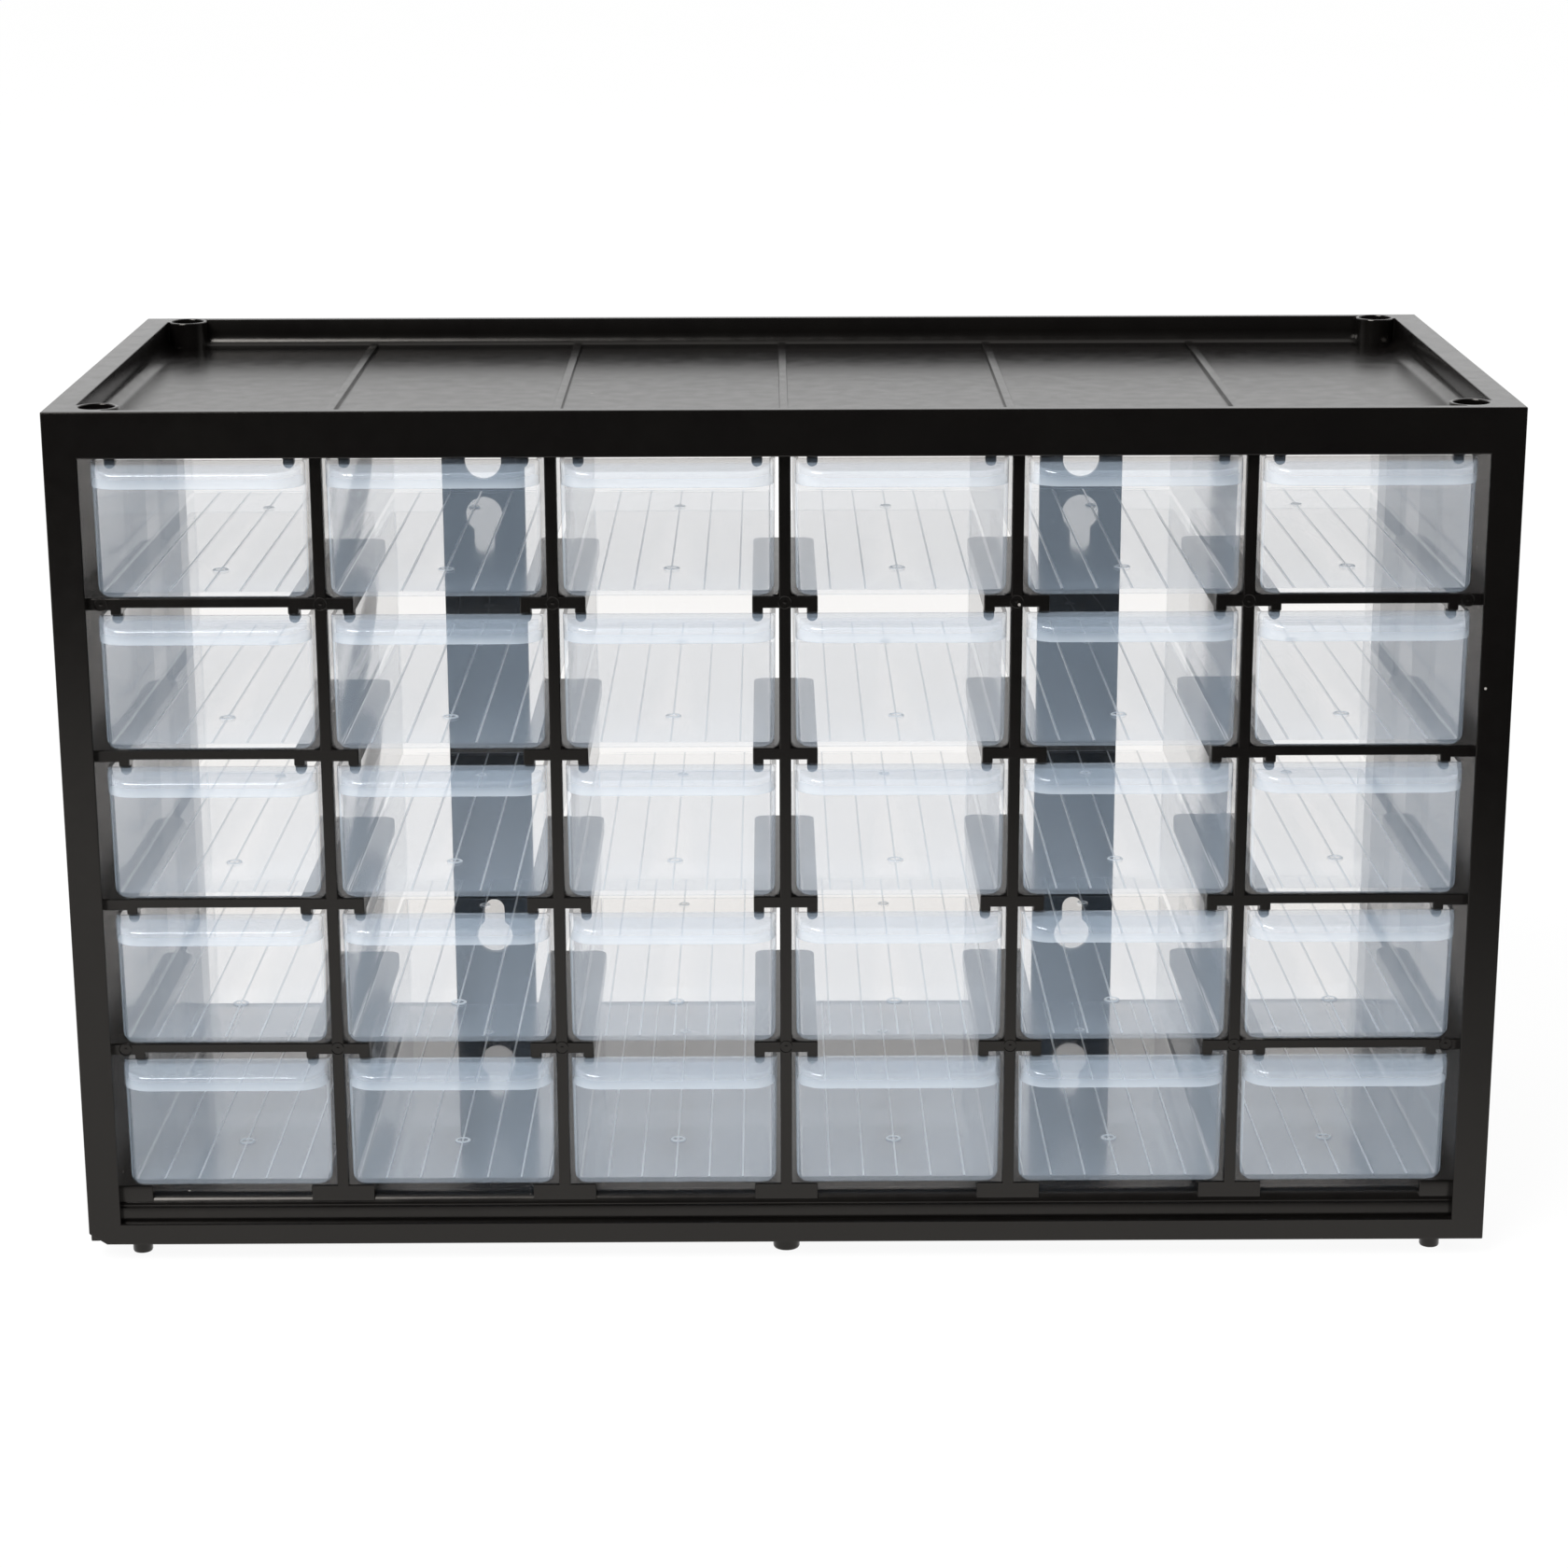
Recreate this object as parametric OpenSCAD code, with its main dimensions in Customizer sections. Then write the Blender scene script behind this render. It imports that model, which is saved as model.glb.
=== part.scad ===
// Parts bin cabinet: an open-backed plastic frame that holds a grid of small sliding drawers.
// Millimetres. The origin is the centre of the footprint, on the surface that the feet stand on.
// The drawers face -Y and +Z is up. Rows are counted from the top and columns from the left.

/* [Frame] */
// Thickness of the front strips and stiles
front_t = 3; // [2.4:0.1:3.2]
// Height of the front strip over the top row
top_strip_h = 11.7; // [10:0.1:12]
// Height of the front strip along the bottom
bottom_strip_h = 5.8; // [4:0.1:7]
// Width of the front stile at each side
stile_w = 8.5; // [8:0.1:9]
// Thickness of the outer skins at the sides and the back
skin_t = 2.4; // [1.8:0.1:3]
// Thickness of the inner side walls
inner_wall_t = 1.6; // [1.2:0.1:2]
// Width of the chamfer at the bottom left corner of the front
chamfer_w = 4.6; // [1:0.1:6]
// Height of the chamfer at the bottom left corner of the front
chamfer_h = 3; // [1:0.1:5]

/* [Top tray] */
// Depth of the tray below its rim
tray_depth = 7.9; // [5:0.1:8.5]
// Thickness of the tray floor
tray_floor_t = 2.5; // [2:0.1:3]
// Width of the flat rim at each side
side_rim_w = 7; // [6:0.1:8]
// Height of the ribs on the tray floor
tray_rib_h = 1; // [0.5:0.1:1.5]
// Width of the ribs on the tray floor
tray_rib_w = 2.2; // [1.5:0.1:3]
// Outer radius of the stacking sockets
socket_r = 5.4; // [5:0.1:6]
// Bore radius of the stacking sockets
socket_bore_r = 4.5; // [3.5:0.1:4.8]

/* [Base and feet] */
// Thickness of the base panel and its rounded nose
base_t = 3; // [2.4:0.1:3.6]
// Height of the top of the base panel above the bottom of the frame
base_top = 11.6; // [10:0.1:12]
// Height that the feet stand out below the frame
foot_h = 5; // [3:0.1:8]
// Radius of the stacking pegs at the corners
peg_r = 2.6; // [2:0.1:3]
// Radius of the middle feet
middle_foot_r = 3.5; // [3:0.1:5]

/* [Grid] */
// Number of drawers side by side
columns = 6; // [6]
// Number of drawers one above the other
rows = 5; // [5]
// Height of the lowest runners at the front, above the bottom of the frame
first_runner = 15.3; // [15:0.1:16]
// Distance of the grid behind the front edge of the frame
grid_recess = 3.3; // [3.2:0.1:4]
// Backward slope of the runners in degrees
runner_slope = 1.2; // [0:0.1:1.5]
// Length of the runners
runner_l = 80; // [60:1:85]
// Reach of a runner from the centre of its upright
runner_reach = 8.2; // [7:0.1:9]
// Thickness of a runner
runner_t = 3.1; // [2.6:0.1:4]
// Radius of the rear corners of a runner
runner_corner_r = 3; // [1:0.1:4]
// Width and depth of the uprights between the columns
upright_w = 3; // [2.6:0.1:4]
// Width of the guide lips that hang under the outer edges of the runners
lip_w = 2.7; // [2:0.1:3]
// Height of the guide lips
lip_h = 1.2; // [0.8:0.1:1.6]
// Extra height of the guide lips over the top row
top_lip_extra = 0.9; // [0.5:0.1:2]
// Radius of the rounded underside of the stop nubs under the front of the guide lips
nub_r = 1.35; // [1:0.05:1.35]
// Drop of the stop nubs below the guide lips
nub_h = 2.6; // [1.4:0.1:2.8]
// Height of the tie bars across the outer columns
tie_bar_h = 2.5; // [2:0.1:3]
// Leg of the small gussets where runners meet uprights
gusset = 1.6; // [1:0.1:1.8]

/* [Drawers] */
// Length of a drawer without its grip
drawer_l = 147; // [143:0.5:180]
// Height of a drawer
drawer_h = 34.5; // [30:0.1:45]
// Width of a drawer at the rim
drawer_top_w = 53.4; // [48:0.1:65]
// How much narrower a drawer is at the bottom
drawer_taper = 0.8; // [0:0.1:2]
// Radius of the lower edges along a drawer
drawer_edge_r = 3; // [2:0.1:4]
// Wall and floor thickness of a drawer
drawer_wall = 1.1; // [0.9:0.05:1.4]
// Number of ribs along a drawer floor
floor_ribs = 5; // [3:1:7]
// Distance between two floor ribs
floor_rib_pitch = 8.8; // [6:0.1:9]
// Height of the floor ribs
floor_rib_h = 0.4; // [0.3:0.05:0.6]
// Width of the floor ribs
floor_rib_w = 0.8; // [0.6:0.05:1]
// Reach of the grip in front of a drawer
grip_reach = 8; // [6:0.1:9]
// Drop of the grip's top face over its reach
grip_drop = 2.2; // [1:0.1:3]
// Height of the grip, from the rim to the edge of its skirt
grip_h = 5.9; // [5:0.1:8]
// Corner radius of the grip, seen from above
grip_corner_r = 7.4; // [4:0.1:7.4]
// Step from the side of a drawer to the side of its grip
grip_inset = 0.3; // [0.2:0.05:0.6]

/* [Back straps] */
// Width of the two back straps
strap_w = 24; // [18:0.5:30]
// Height of the lower keyholes above the bottom of the frame
low_keyhole = 33.5; // [28:0.5:40]
// Height of the upper keyholes above the bottom of the frame
high_keyhole = 178.5; // [160:0.5:180]
// Radius of the round part of a keyhole
keyhole_r = 5.3; // [4:0.1:6]
// Radius of the slot of a keyhole
keyhole_slot_r = 3; // [2:0.1:3]
// Height of the slot's end centre above the centre of the round part
keyhole_slot_rise = 8.5; // [6:0.5:12]

/* [Clearances] */
// Gap between the rim of a drawer and the uprights beside it
side_gap = 0.8; // [0.4:0.05:1.2]
// Gap between the rim of a drawer and the guide lips over it
rim_gap = 0.35; // [0.3:0.05:0.8]
// Gap between the back of the drawers and the back straps
back_gap = 5.3; // [2:0.1:10]
// Gap between a drawer and the runners that carry it
slide_gap = 0.15; // [0.1:0.05:0.3]
// Gap between a stop nub and a drawer wall at each end of the travel
stop_gap = 0.3; // [0.2:0.05:0.6]

/* [Wall ribs] */
// How far the upright ribs on the inner side walls stand proud
wall_rib_t = 0.9; // [0.5:0.1:1.2]
// Width of the wall ribs, front to back
wall_rib_w = 25; // [15:1:30]
// Distance of the first pair of wall ribs behind the front edge of the frame
first_wall_rib = 62; // [50:1:80]
// Distance of the second pair of wall ribs behind the front edge of the frame
second_wall_rib = 115; // [111:1:122]

/* [Hidden] */
$fn = 48;
beyond = 20;
foot_gap = 0.3;
gusset_setback = 0.5;
socket_floor = 1;
peg_boss_wall = 0.8;
arc_steps = 6;
frame_black = "#262422";
drawer_clear = [0.80, 0.86, 0.92, 0.45];

// Sizes that follow from the drawers and the gaps round them
column_pitch = drawer_top_w + 2 * side_gap + upright_w;
row_pitch = (drawer_h + slide_gap + rim_gap + lip_h + runner_t) / cos(runner_slope);
frame_w = columns * column_pitch + 2 * stile_w;
frame_d = grid_recess + drawer_l + back_gap + skin_t;
frame_h = first_runner + rows * row_pitch - runner_t + top_lip_extra + tray_floor_t + tray_depth;
drawer_bottom_w = drawer_top_w - drawer_taper;

// Places in the part's own frame
grip_lean = grip_reach * cos(runner_slope) - (drawer_h - grip_h) * sin(runner_slope);
front_y = -(frame_d + grip_lean - grid_recess) / 2 + grip_lean - grid_recess;
back_y = front_y + frame_d;
grid_y = front_y + grid_recess;
bottom_z = foot_h;
top_z = foot_h + frame_h;
rim_inner_x = frame_w / 2 - side_rim_w;
inner_x = frame_w / 2 - stile_w;
skin_inner_x = frame_w / 2 - skin_t;
top_strip_z = top_z - top_strip_h;
tray_floor_z = top_z - tray_depth;
tray_under_z = tray_floor_z - tray_floor_t;
base_top_z = bottom_z + base_top;
base_under_z = base_top_z - base_t;
tray_inner_front = front_y + front_t;
tray_inner_back = back_y - skin_t;
socket_x = rim_inner_x - socket_r;
socket_ys = [tray_inner_front + socket_r, back_y - socket_r];
web_t = skin_t;
middle_foot_ys = [
    tray_inner_front + web_t + foot_gap + middle_foot_r,
    tray_inner_back - foot_gap - middle_foot_r
];
strap_x = (columns / 2 - 1.5) * column_pitch;
divider_xs = [for (i = [1:columns - 1]) (i - columns / 2) * column_pitch];
tray_rib_pitch = 2 * rim_inner_x / columns;
lip_inner = runner_reach - lip_w;
nub_y = drawer_wall + row_pitch * sin(runner_slope) + stop_gap + nub_r;

// Node names, with one node for each drawer
function drawer_name(row, column) = str("drawer_r", row, "c", column);
DRAWERS = [for (row = [1:rows]) for (column = [1:columns]) drawer_name(row, column)];
RUNNERS = [for (row = [1:rows]) str("runners_row_", row)];
FRAME = [
    "top_panel", "tray_ribs", "top_front_strip", "tray_side_rims", "tray_back_rim", "stacking_sockets",
    "side_panel_left", "side_panel_right", "front_stiles", "inner_walls", "wall_ribs",
    "uprights", "top_guide_lips", "guide_lips", "stop_nubs", "tie_bars", "corner_gussets",
    "base_panel", "base_front_strip", "base_back_strip", "stacking_pegs", "middle_feet",
    "back_strap_left", "back_strap_right"
];

// Height of the runners under a row at the front; row 0 stands for the underside of the top
function runner_z(row) = bottom_z + first_runner + (rows - row) * row_pitch;

// Centre of a column
function column_x(column) = (column - (columns + 1) / 2) * column_pitch;

// A box from its low corner to its high corner
module span(low, high) {
    translate(low) cube(high - low);
}

// The sloping frame of a row's runners, with its origin at their top front edge
module on_slope(row) {
    translate([0, grid_y, runner_z(row)]) rotate([-runner_slope, 0, 0]) children();
}

// A mirrored pair, left and right
module both_sides() {
    children();
    mirror([1, 0, 0]) children();
}

// ---- Top tray ----

module top_panel() {
    color(frame_black)
        span([-rim_inner_x, tray_inner_front, tray_under_z], [rim_inner_x, tray_inner_back, tray_floor_z]);
}

module tray_ribs() {
    color(frame_black)
        for (i = [1:columns - 1])
            translate([(i - columns / 2) * tray_rib_pitch - tray_rib_w / 2, tray_inner_front, tray_floor_z])
                cube([tray_rib_w, tray_inner_back - tray_inner_front, tray_rib_h]);
}

module top_front_strip() {
    color(frame_black)
        span([-frame_w / 2, front_y, top_strip_z], [frame_w / 2, tray_inner_front, top_z]);
}

module tray_side_rims() {
    color(frame_black)
        both_sides()
            span([rim_inner_x, tray_inner_front, tray_under_z], [frame_w / 2, back_y, top_z]);
}

// The back rim ends in the rear stacking sockets
module tray_back_rim() {
    color(frame_black)
        difference() {
            span([-socket_x, tray_inner_back, tray_under_z], [socket_x, back_y, top_z]);
            both_sides()
                translate([socket_x, socket_ys[1], tray_under_z - 1])
                    cylinder(r = socket_r, h = beyond);
        }
}

// A tube in each corner of the tray, squared off where it meets the rims
module socket_body(y, wall_y) {
    translate([socket_x, y, tray_floor_z]) cylinder(r = socket_r, h = tray_depth);
    span([socket_x, min(y, wall_y), tray_floor_z], [rim_inner_x, max(y, wall_y), top_z]);
}

module stacking_sockets() {
    color(frame_black)
        both_sides()
            difference() {
                union() {
                    socket_body(socket_ys[0], tray_inner_front);
                    socket_body(socket_ys[1], back_y);
                    translate([0, tray_inner_back, tray_under_z]) rear_socket_foot();
                }
                for (y = socket_ys)
                    translate([socket_x, y, tray_floor_z + socket_floor])
                        cylinder(r = socket_bore_r, h = beyond);
            }
}

// The part of a rear socket that closes the back face below the tray floor
module rear_socket_foot() {
    intersection() {
        translate([socket_x, socket_ys[1] - tray_inner_back, 0])
            union() {
                cylinder(r = socket_r, h = tray_floor_t);
                cube([socket_r, socket_r, tray_floor_t]);
            }
        translate([0, 0, -1]) cube([rim_inner_x, skin_t, tray_floor_t + 2]);
    }
}

// ---- Sides ----

module side_panel() {
    span([skin_inner_x, tray_inner_front, bottom_z], [frame_w / 2, back_y, tray_under_z]);
}

module side_panel_right() {
    color(frame_black) side_panel();
}

module side_panel_left() {
    color(frame_black) mirror([1, 0, 0]) side_panel();
}

// Front face of the left stile, with its chamfered bottom corner
module left_stile_face() {
    polygon([
        [-frame_w / 2 + chamfer_w, bottom_z],
        [-inner_x, bottom_z],
        [-inner_x, top_strip_z],
        [-frame_w / 2, top_strip_z],
        [-frame_w / 2, bottom_z + chamfer_h]
    ]);
}

module front_stiles() {
    color(frame_black) {
        along(front_y, tray_inner_front) left_stile_face();
        span([inner_x, front_y, bottom_z], [frame_w / 2, tray_inner_front, top_strip_z]);
    }
}

// Inner skins that stand on the base panel, so that each side is a channel open at the back
module inner_walls() {
    color(frame_black)
        both_sides()
            span([inner_x, tray_inner_front, base_top_z], [inner_x + inner_wall_t, back_y, tray_under_z]);
}

// Upright ribs on the inner walls, interrupted by the runners and lips that cross them
module wall_ribs() {
    color(frame_black)
        difference() {
            both_sides()
                for (start = [first_wall_rib, second_wall_rib])
                    span([inner_x - wall_rib_t, front_y + start, base_top_z],
                         [inner_x, front_y + start + wall_rib_w, tray_under_z]);
            for (row = [1:rows]) runners(row);
        }
}

// ---- Grid ----

// Plan of a runner with rounded rear corners, from one x to another
module runner_plan(x_low, x_high) {
    r = runner_corner_r;
    translate([x_low, 0]) square([x_high - x_low, runner_l - r]);
    translate([x_low + r, 0]) square([x_high - x_low - 2 * r, runner_l]);
    for (x = [x_low + r, x_high - r])
        translate([x, runner_l - r]) circle(r = r);
}

// A half runner at the side wall has only one rounded corner
module half_runner_plan() {
    intersection() {
        runner_plan(inner_x - runner_reach, inner_x + runner_reach);
        square([inner_x, runner_l]);
    }
}

// The plans of all seven runners of a row
module row_plan() {
    for (x = divider_xs) runner_plan(x - runner_reach, x + runner_reach);
    half_runner_plan();
    mirror([1, 0]) half_runner_plan();
}

// The lowest runners are blocks that stand on the base; the others are cantilevered shelves
module runners(row) {
    color(frame_black)
        if (row == rows)
            difference() {
                on_slope(row)
                    translate([0, 0, -beyond]) linear_extrude(height = beyond) row_plan();
                translate([-frame_w, -frame_d, base_top_z - 2 * beyond])
                    cube([2 * frame_w, 2 * frame_d, 2 * beyond]);
            }
        else
            on_slope(row)
                translate([0, 0, -runner_t]) linear_extrude(height = runner_t) row_plan();
}

// The plans of the lips, one along each free edge of the runners
module lip_plan() {
    straight_l = runner_l - runner_corner_r;
    for (x = concat(divider_xs, [-inner_x])) translate([x + lip_inner, 0]) square([lip_w, straight_l]);
    for (x = concat(divider_xs, [inner_x])) translate([x - runner_reach, 0]) square([lip_w, straight_l]);
}

// Centres of the stop nubs, one under the front of each lip
function nub_xs() = concat(
    [for (x = concat(divider_xs, [-inner_x])) x + lip_inner + lip_w / 2],
    [for (x = concat(divider_xs, [inner_x])) x - lip_inner - lip_w / 2]
);

// Lips that guide the rims of the row below
module lips(row, height) {
    on_slope(row)
        translate([0, 0, -runner_t - lip_h]) linear_extrude(height = height) lip_plan();
}

module guide_lips() {
    color(frame_black)
        for (row = [1:rows - 1]) lips(row, lip_h);
}

// The lips over the top row hang from the tray floor
module top_guide_lips() {
    color(frame_black)
        difference() {
            lips(0, beyond / 2);
            translate([-frame_w, -frame_d, tray_under_z]) cube([2 * frame_w, 2 * frame_d, beyond]);
        }
}

// A nub that is rounded underneath and flat to the front and the rear, seen from the middle of its top
module stop_nub() {
    intersection() {
        translate([-nub_r, -nub_r, -nub_h]) cube([2 * nub_r, 2 * nub_r, nub_h]);
        union() {
            translate([0, 0, nub_r - nub_h])
                rotate([90, 0, 0]) cylinder(r = nub_r, h = 4 * nub_r, center = true);
            translate([-2 * nub_r, -2 * nub_r, nub_r - nub_h]) cube([4 * nub_r, 4 * nub_r, nub_h]);
        }
    }
}

// Nubs under the front of the lips, which the front and rear walls of the drawers stop against
module stop_nubs() {
    color(frame_black)
        for (row = [0:rows - 1])
            on_slope(row)
                for (x = nub_xs())
                    translate([x, nub_y, -runner_t - lip_h]) stop_nub();
}

// Square bars between the columns, interrupted by the runners
module uprights() {
    color(frame_black)
        difference() {
            for (x = divider_xs)
                translate([x - upright_w / 2, grid_y, base_top_z])
                    cube([upright_w, upright_w, tray_under_z - base_top_z]);
            for (row = [1:rows]) runners(row);
        }
}

// Thin bars across the outer columns, from the side runner to the first shelf
module tie_bars() {
    tie_x = abs(divider_xs[0]) + runner_reach;
    color(frame_black)
        both_sides()
            for (row = [1:rows - 1])
                on_slope(row)
                    translate([tie_x, 0, -tie_bar_h])
                        cube([inner_x - runner_reach - tie_x, tie_bar_h, tie_bar_h]);
}

// Small triangular gussets in the corners over the runners
module corner_gussets() {
    color(frame_black)
        for (row = [1:rows - 1])
            on_slope(row)
                for (x = divider_xs)
                    translate([x, upright_w, 0])
                        rotate([90, 0, 0])
                            linear_extrude(height = upright_w - gusset_setback)
                                gusset_pair();
}

module gusset_pair() {
    for (side = [-1, 1])
        polygon([
            [side * upright_w / 2, 0],
            [side * (upright_w / 2 + gusset), 0],
            [side * upright_w / 2, gusset]
        ]);
}

// ---- Base ----

// The panel reaches the side panels; between the stiles its front edge is a round nose
module base_panel() {
    nose_y = tray_inner_front + base_t / 2;
    nose_z = base_under_z + base_t / 2;
    color(frame_black) {
        span([-skin_inner_x, nose_y, base_under_z], [skin_inner_x, back_y - skin_t, base_top_z]);
        translate([-inner_x, nose_y, nose_z]) rotate([0, 90, 0]) cylinder(d = base_t, h = 2 * inner_x);
    }
}

// The bottom strip, with the web behind it that carries the base panel
module base_front_strip() {
    color(frame_black) {
        span([-inner_x, front_y, bottom_z], [inner_x, tray_inner_front + web_t, bottom_z + bottom_strip_h]);
        span([-inner_x, tray_inner_front, bottom_z], [inner_x, tray_inner_front + web_t, base_under_z]);
    }
}

module base_back_strip() {
    color(frame_black)
        span([-skin_inner_x, back_y - skin_t, bottom_z], [skin_inner_x, back_y, base_top_z]);
}

// Pegs that drop into the sockets of a cabinet below, each on a square boss inside the frame
module stacking_pegs() {
    boss_r = peg_r + peg_boss_wall;
    color(frame_black)
        both_sides()
            for (y = socket_ys) {
                translate([socket_x, y, 0]) cylinder(r = peg_r, h = base_under_z);
                span(
                    [socket_x - boss_r, max(y - boss_r, tray_inner_front + web_t), bottom_z],
                    [min(socket_x + boss_r, inner_x), min(y + boss_r, tray_inner_back), base_under_z]
                );
            }
}

module middle_feet() {
    color(frame_black)
        for (y = middle_foot_ys)
            translate([0, y, 0]) cylinder(r = middle_foot_r, h = base_under_z);
}

// ---- Back ----

// A round entry hole with a narrower slot above it, cut through a strap
module keyhole(z) {
    translate([strap_x, back_y + 1, z])
        rotate([90, 0, 0]) {
            cylinder(r = keyhole_r, h = skin_t + 2);
            translate([0, keyhole_slot_rise, 0]) cylinder(r = keyhole_slot_r, h = skin_t + 2);
            translate([-keyhole_slot_r, 0, 0]) cube([2 * keyhole_slot_r, keyhole_slot_rise, skin_t + 2]);
        }
}

module back_strap() {
    difference() {
        translate([strap_x - strap_w / 2, back_y - skin_t, base_top_z])
            cube([strap_w, skin_t, tray_under_z - base_top_z]);
        for (z = [low_keyhole, high_keyhole]) keyhole(bottom_z + z);
    }
}

module back_strap_right() {
    color(frame_black) back_strap();
}

module back_strap_left() {
    color(frame_black) mirror([1, 0, 0]) back_strap();
}

// ---- Drawers ----

// Points of a quarter round at one lower edge, from the bottom up
function edge_arc(side, x, r) =
    [for (i = [0:arc_steps]) [side * (x + r * sin(90 * i / arc_steps)), r - r * cos(90 * i / arc_steps)]];

// Cross-section of a trough that is wider at the top, with rounded lower edges
module trough(bottom_w, top_w, height, r) {
    right = edge_arc(1, bottom_w / 2 - r, r);
    left = edge_arc(-1, bottom_w / 2 - r, r);
    polygon(concat(
        right,
        [[top_w / 2, height], [-top_w / 2, height]],
        [for (i = [arc_steps:-1:0]) left[i]]
    ));
}

// Stretches a cross-section along Y, from one place to another
module along(y_low, y_high) {
    translate([0, y_high, 0]) rotate([90, 0, 0]) linear_extrude(height = y_high - y_low) children();
}

// Plan of the grip, nearly flush with the sides of the drawer and rounded towards the front
module grip_plan(inset, y_back) {
    r = grip_corner_r - inset;
    front = grip_reach - inset;
    half_w = drawer_top_w / 2 - grip_inset - inset;
    intersection() {
        union() {
            translate([-half_w + r, -front]) square([2 * (half_w - r), front + beyond]);
            for (side = [-1, 1]) translate([side * (half_w - r), r - front]) circle(r = r);
        }
        translate([-drawer_top_w, -beyond]) square([2 * drawer_top_w, beyond + y_back]);
    }
}

// The space under the grip's sloping top face, seen from the side
module grip_side(inset) {
    fall = grip_drop / grip_reach;
    rotate([90, 0, 90])
        translate([0, 0, -drawer_top_w])
            linear_extrude(height = 2 * drawer_top_w)
                polygon([
                    [drawer_wall, drawer_h - inset],
                    [0, drawer_h - inset],
                    [-beyond, drawer_h - inset - fall * beyond],
                    [-beyond, 0],
                    [drawer_wall, 0]
                ]);
}

// A sloping lip with a skirt round its edge
module grip() {
    difference() {
        intersection() {
            translate([0, 0, drawer_h - grip_h])
                linear_extrude(height = grip_h) grip_plan(0, drawer_wall / 2);
            grip_side(0);
        }
        intersection() {
            translate([0, 0, drawer_h - 2 * grip_h])
                linear_extrude(height = 2 * grip_h) grip_plan(drawer_wall, 0);
            grip_side(drawer_wall);
        }
    }
}

module drawer_shell() {
    difference() {
        along(0, drawer_l)
            trough(drawer_bottom_w, drawer_top_w, drawer_h, drawer_edge_r);
        translate([0, 0, drawer_wall])
            along(drawer_wall, drawer_l - drawer_wall)
                trough(drawer_bottom_w - 2 * drawer_wall, drawer_top_w - 2 * drawer_wall, drawer_h,
                       drawer_edge_r - drawer_wall);
    }
}

module drawer_floor_ribs() {
    for (i = [0:floor_ribs - 1]) {
        x = (i - (floor_ribs - 1) / 2) * floor_rib_pitch - floor_rib_w / 2;
        translate([x, drawer_wall / 2, drawer_wall / 2])
            cube([floor_rib_w, drawer_l - drawer_wall, drawer_wall / 2 + floor_rib_h]);
    }
}

module drawer(row, column) {
    color(drawer_clear)
        on_slope(row)
            translate([column_x(column), 0, slide_gap]) {
                drawer_shell();
                drawer_floor_ribs();
                grip();
            }
}

top_panel();
tray_ribs();
top_front_strip();
tray_side_rims();
tray_back_rim();
stacking_sockets();
side_panel_left();
side_panel_right();
front_stiles();
inner_walls();
wall_ribs();
uprights();
top_guide_lips();
guide_lips();
stop_nubs();
tie_bars();
corner_gussets();
base_panel();
base_front_strip();
base_back_strip();
stacking_pegs();
middle_feet();
back_strap_left();
back_strap_right();
for (row = [1:rows])
    runners(row);
for (row = [1:rows])
    for (column = [1:columns])
        drawer(row, column);
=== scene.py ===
"""Looks for the parts bin cabinet: a moulded black frame with thirty clear drawers, on a pale floor.

Lengths are written in millimetres and turned to metres when a piece is finished. X runs to the right, Y to
the rear and Z up.
"""
import math

import bmesh
import bpy
from mathutils import Matrix, Vector


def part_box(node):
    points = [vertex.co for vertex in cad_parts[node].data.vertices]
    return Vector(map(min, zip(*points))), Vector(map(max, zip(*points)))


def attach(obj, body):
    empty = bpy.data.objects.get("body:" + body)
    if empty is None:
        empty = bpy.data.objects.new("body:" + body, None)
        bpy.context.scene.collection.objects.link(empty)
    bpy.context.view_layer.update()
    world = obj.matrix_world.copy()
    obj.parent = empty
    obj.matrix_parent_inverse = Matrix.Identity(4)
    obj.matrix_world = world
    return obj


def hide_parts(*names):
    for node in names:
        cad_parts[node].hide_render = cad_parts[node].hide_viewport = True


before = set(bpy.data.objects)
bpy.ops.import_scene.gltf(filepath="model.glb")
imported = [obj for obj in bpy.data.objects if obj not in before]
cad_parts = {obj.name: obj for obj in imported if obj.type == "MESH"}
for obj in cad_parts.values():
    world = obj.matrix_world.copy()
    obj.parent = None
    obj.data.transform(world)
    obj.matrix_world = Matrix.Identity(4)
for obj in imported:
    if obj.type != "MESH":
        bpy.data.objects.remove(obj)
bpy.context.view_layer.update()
scene = bpy.context.scene
MM = 0.001


def corners(node):
    """Lowest and highest corners of a CAD node in millimetres."""
    low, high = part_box(node)
    return low / MM, high / MM


# ---- Sizes of the frame, taken from the CAD nodes where they are measured ----

STRIP_LOW, STRIP_HIGH = corners("top_front_strip")
FLOOR_LOW, FLOOR_HIGH = corners("top_panel")
SIDE_LOW, SIDE_HIGH = corners("side_panel_right")
BASE_LOW, BASE_HIGH = corners("base_panel")
STRAP_LOW, STRAP_HIGH = corners("back_strap_right")
HALF_W = STRIP_HIGH.x
FRONT_Y, FACE_BACK_Y = STRIP_LOW.y, STRIP_HIGH.y
BACK_Y = SIDE_HIGH.y
BOTTOM_Z, TOP_Z = SIDE_LOW.z, STRIP_HIGH.z
OPENING_TOP_Z = STRIP_LOW.z
RIM_X = FLOOR_HIGH.x
TRAY_BACK_Y = FLOOR_HIGH.y
TRAY_UNDER_Z, TRAY_FLOOR_Z = FLOOR_LOW.z, FLOOR_HIGH.z
TRAY_RIB_TOP_Z = corners("tray_ribs")[1].z
SKIN_X = SIDE_LOW.x
OPENING_X = corners("base_front_strip")[1].x
INNER_WALL_X = corners("inner_walls")[1].x
BASE_UNDER_Z, BASE_TOP_Z = BASE_LOW.z, BASE_HIGH.z
GRID_Y = corners("uprights")[0].y
SKIN_T = STRAP_HIGH.y - STRAP_LOW.y

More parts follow.
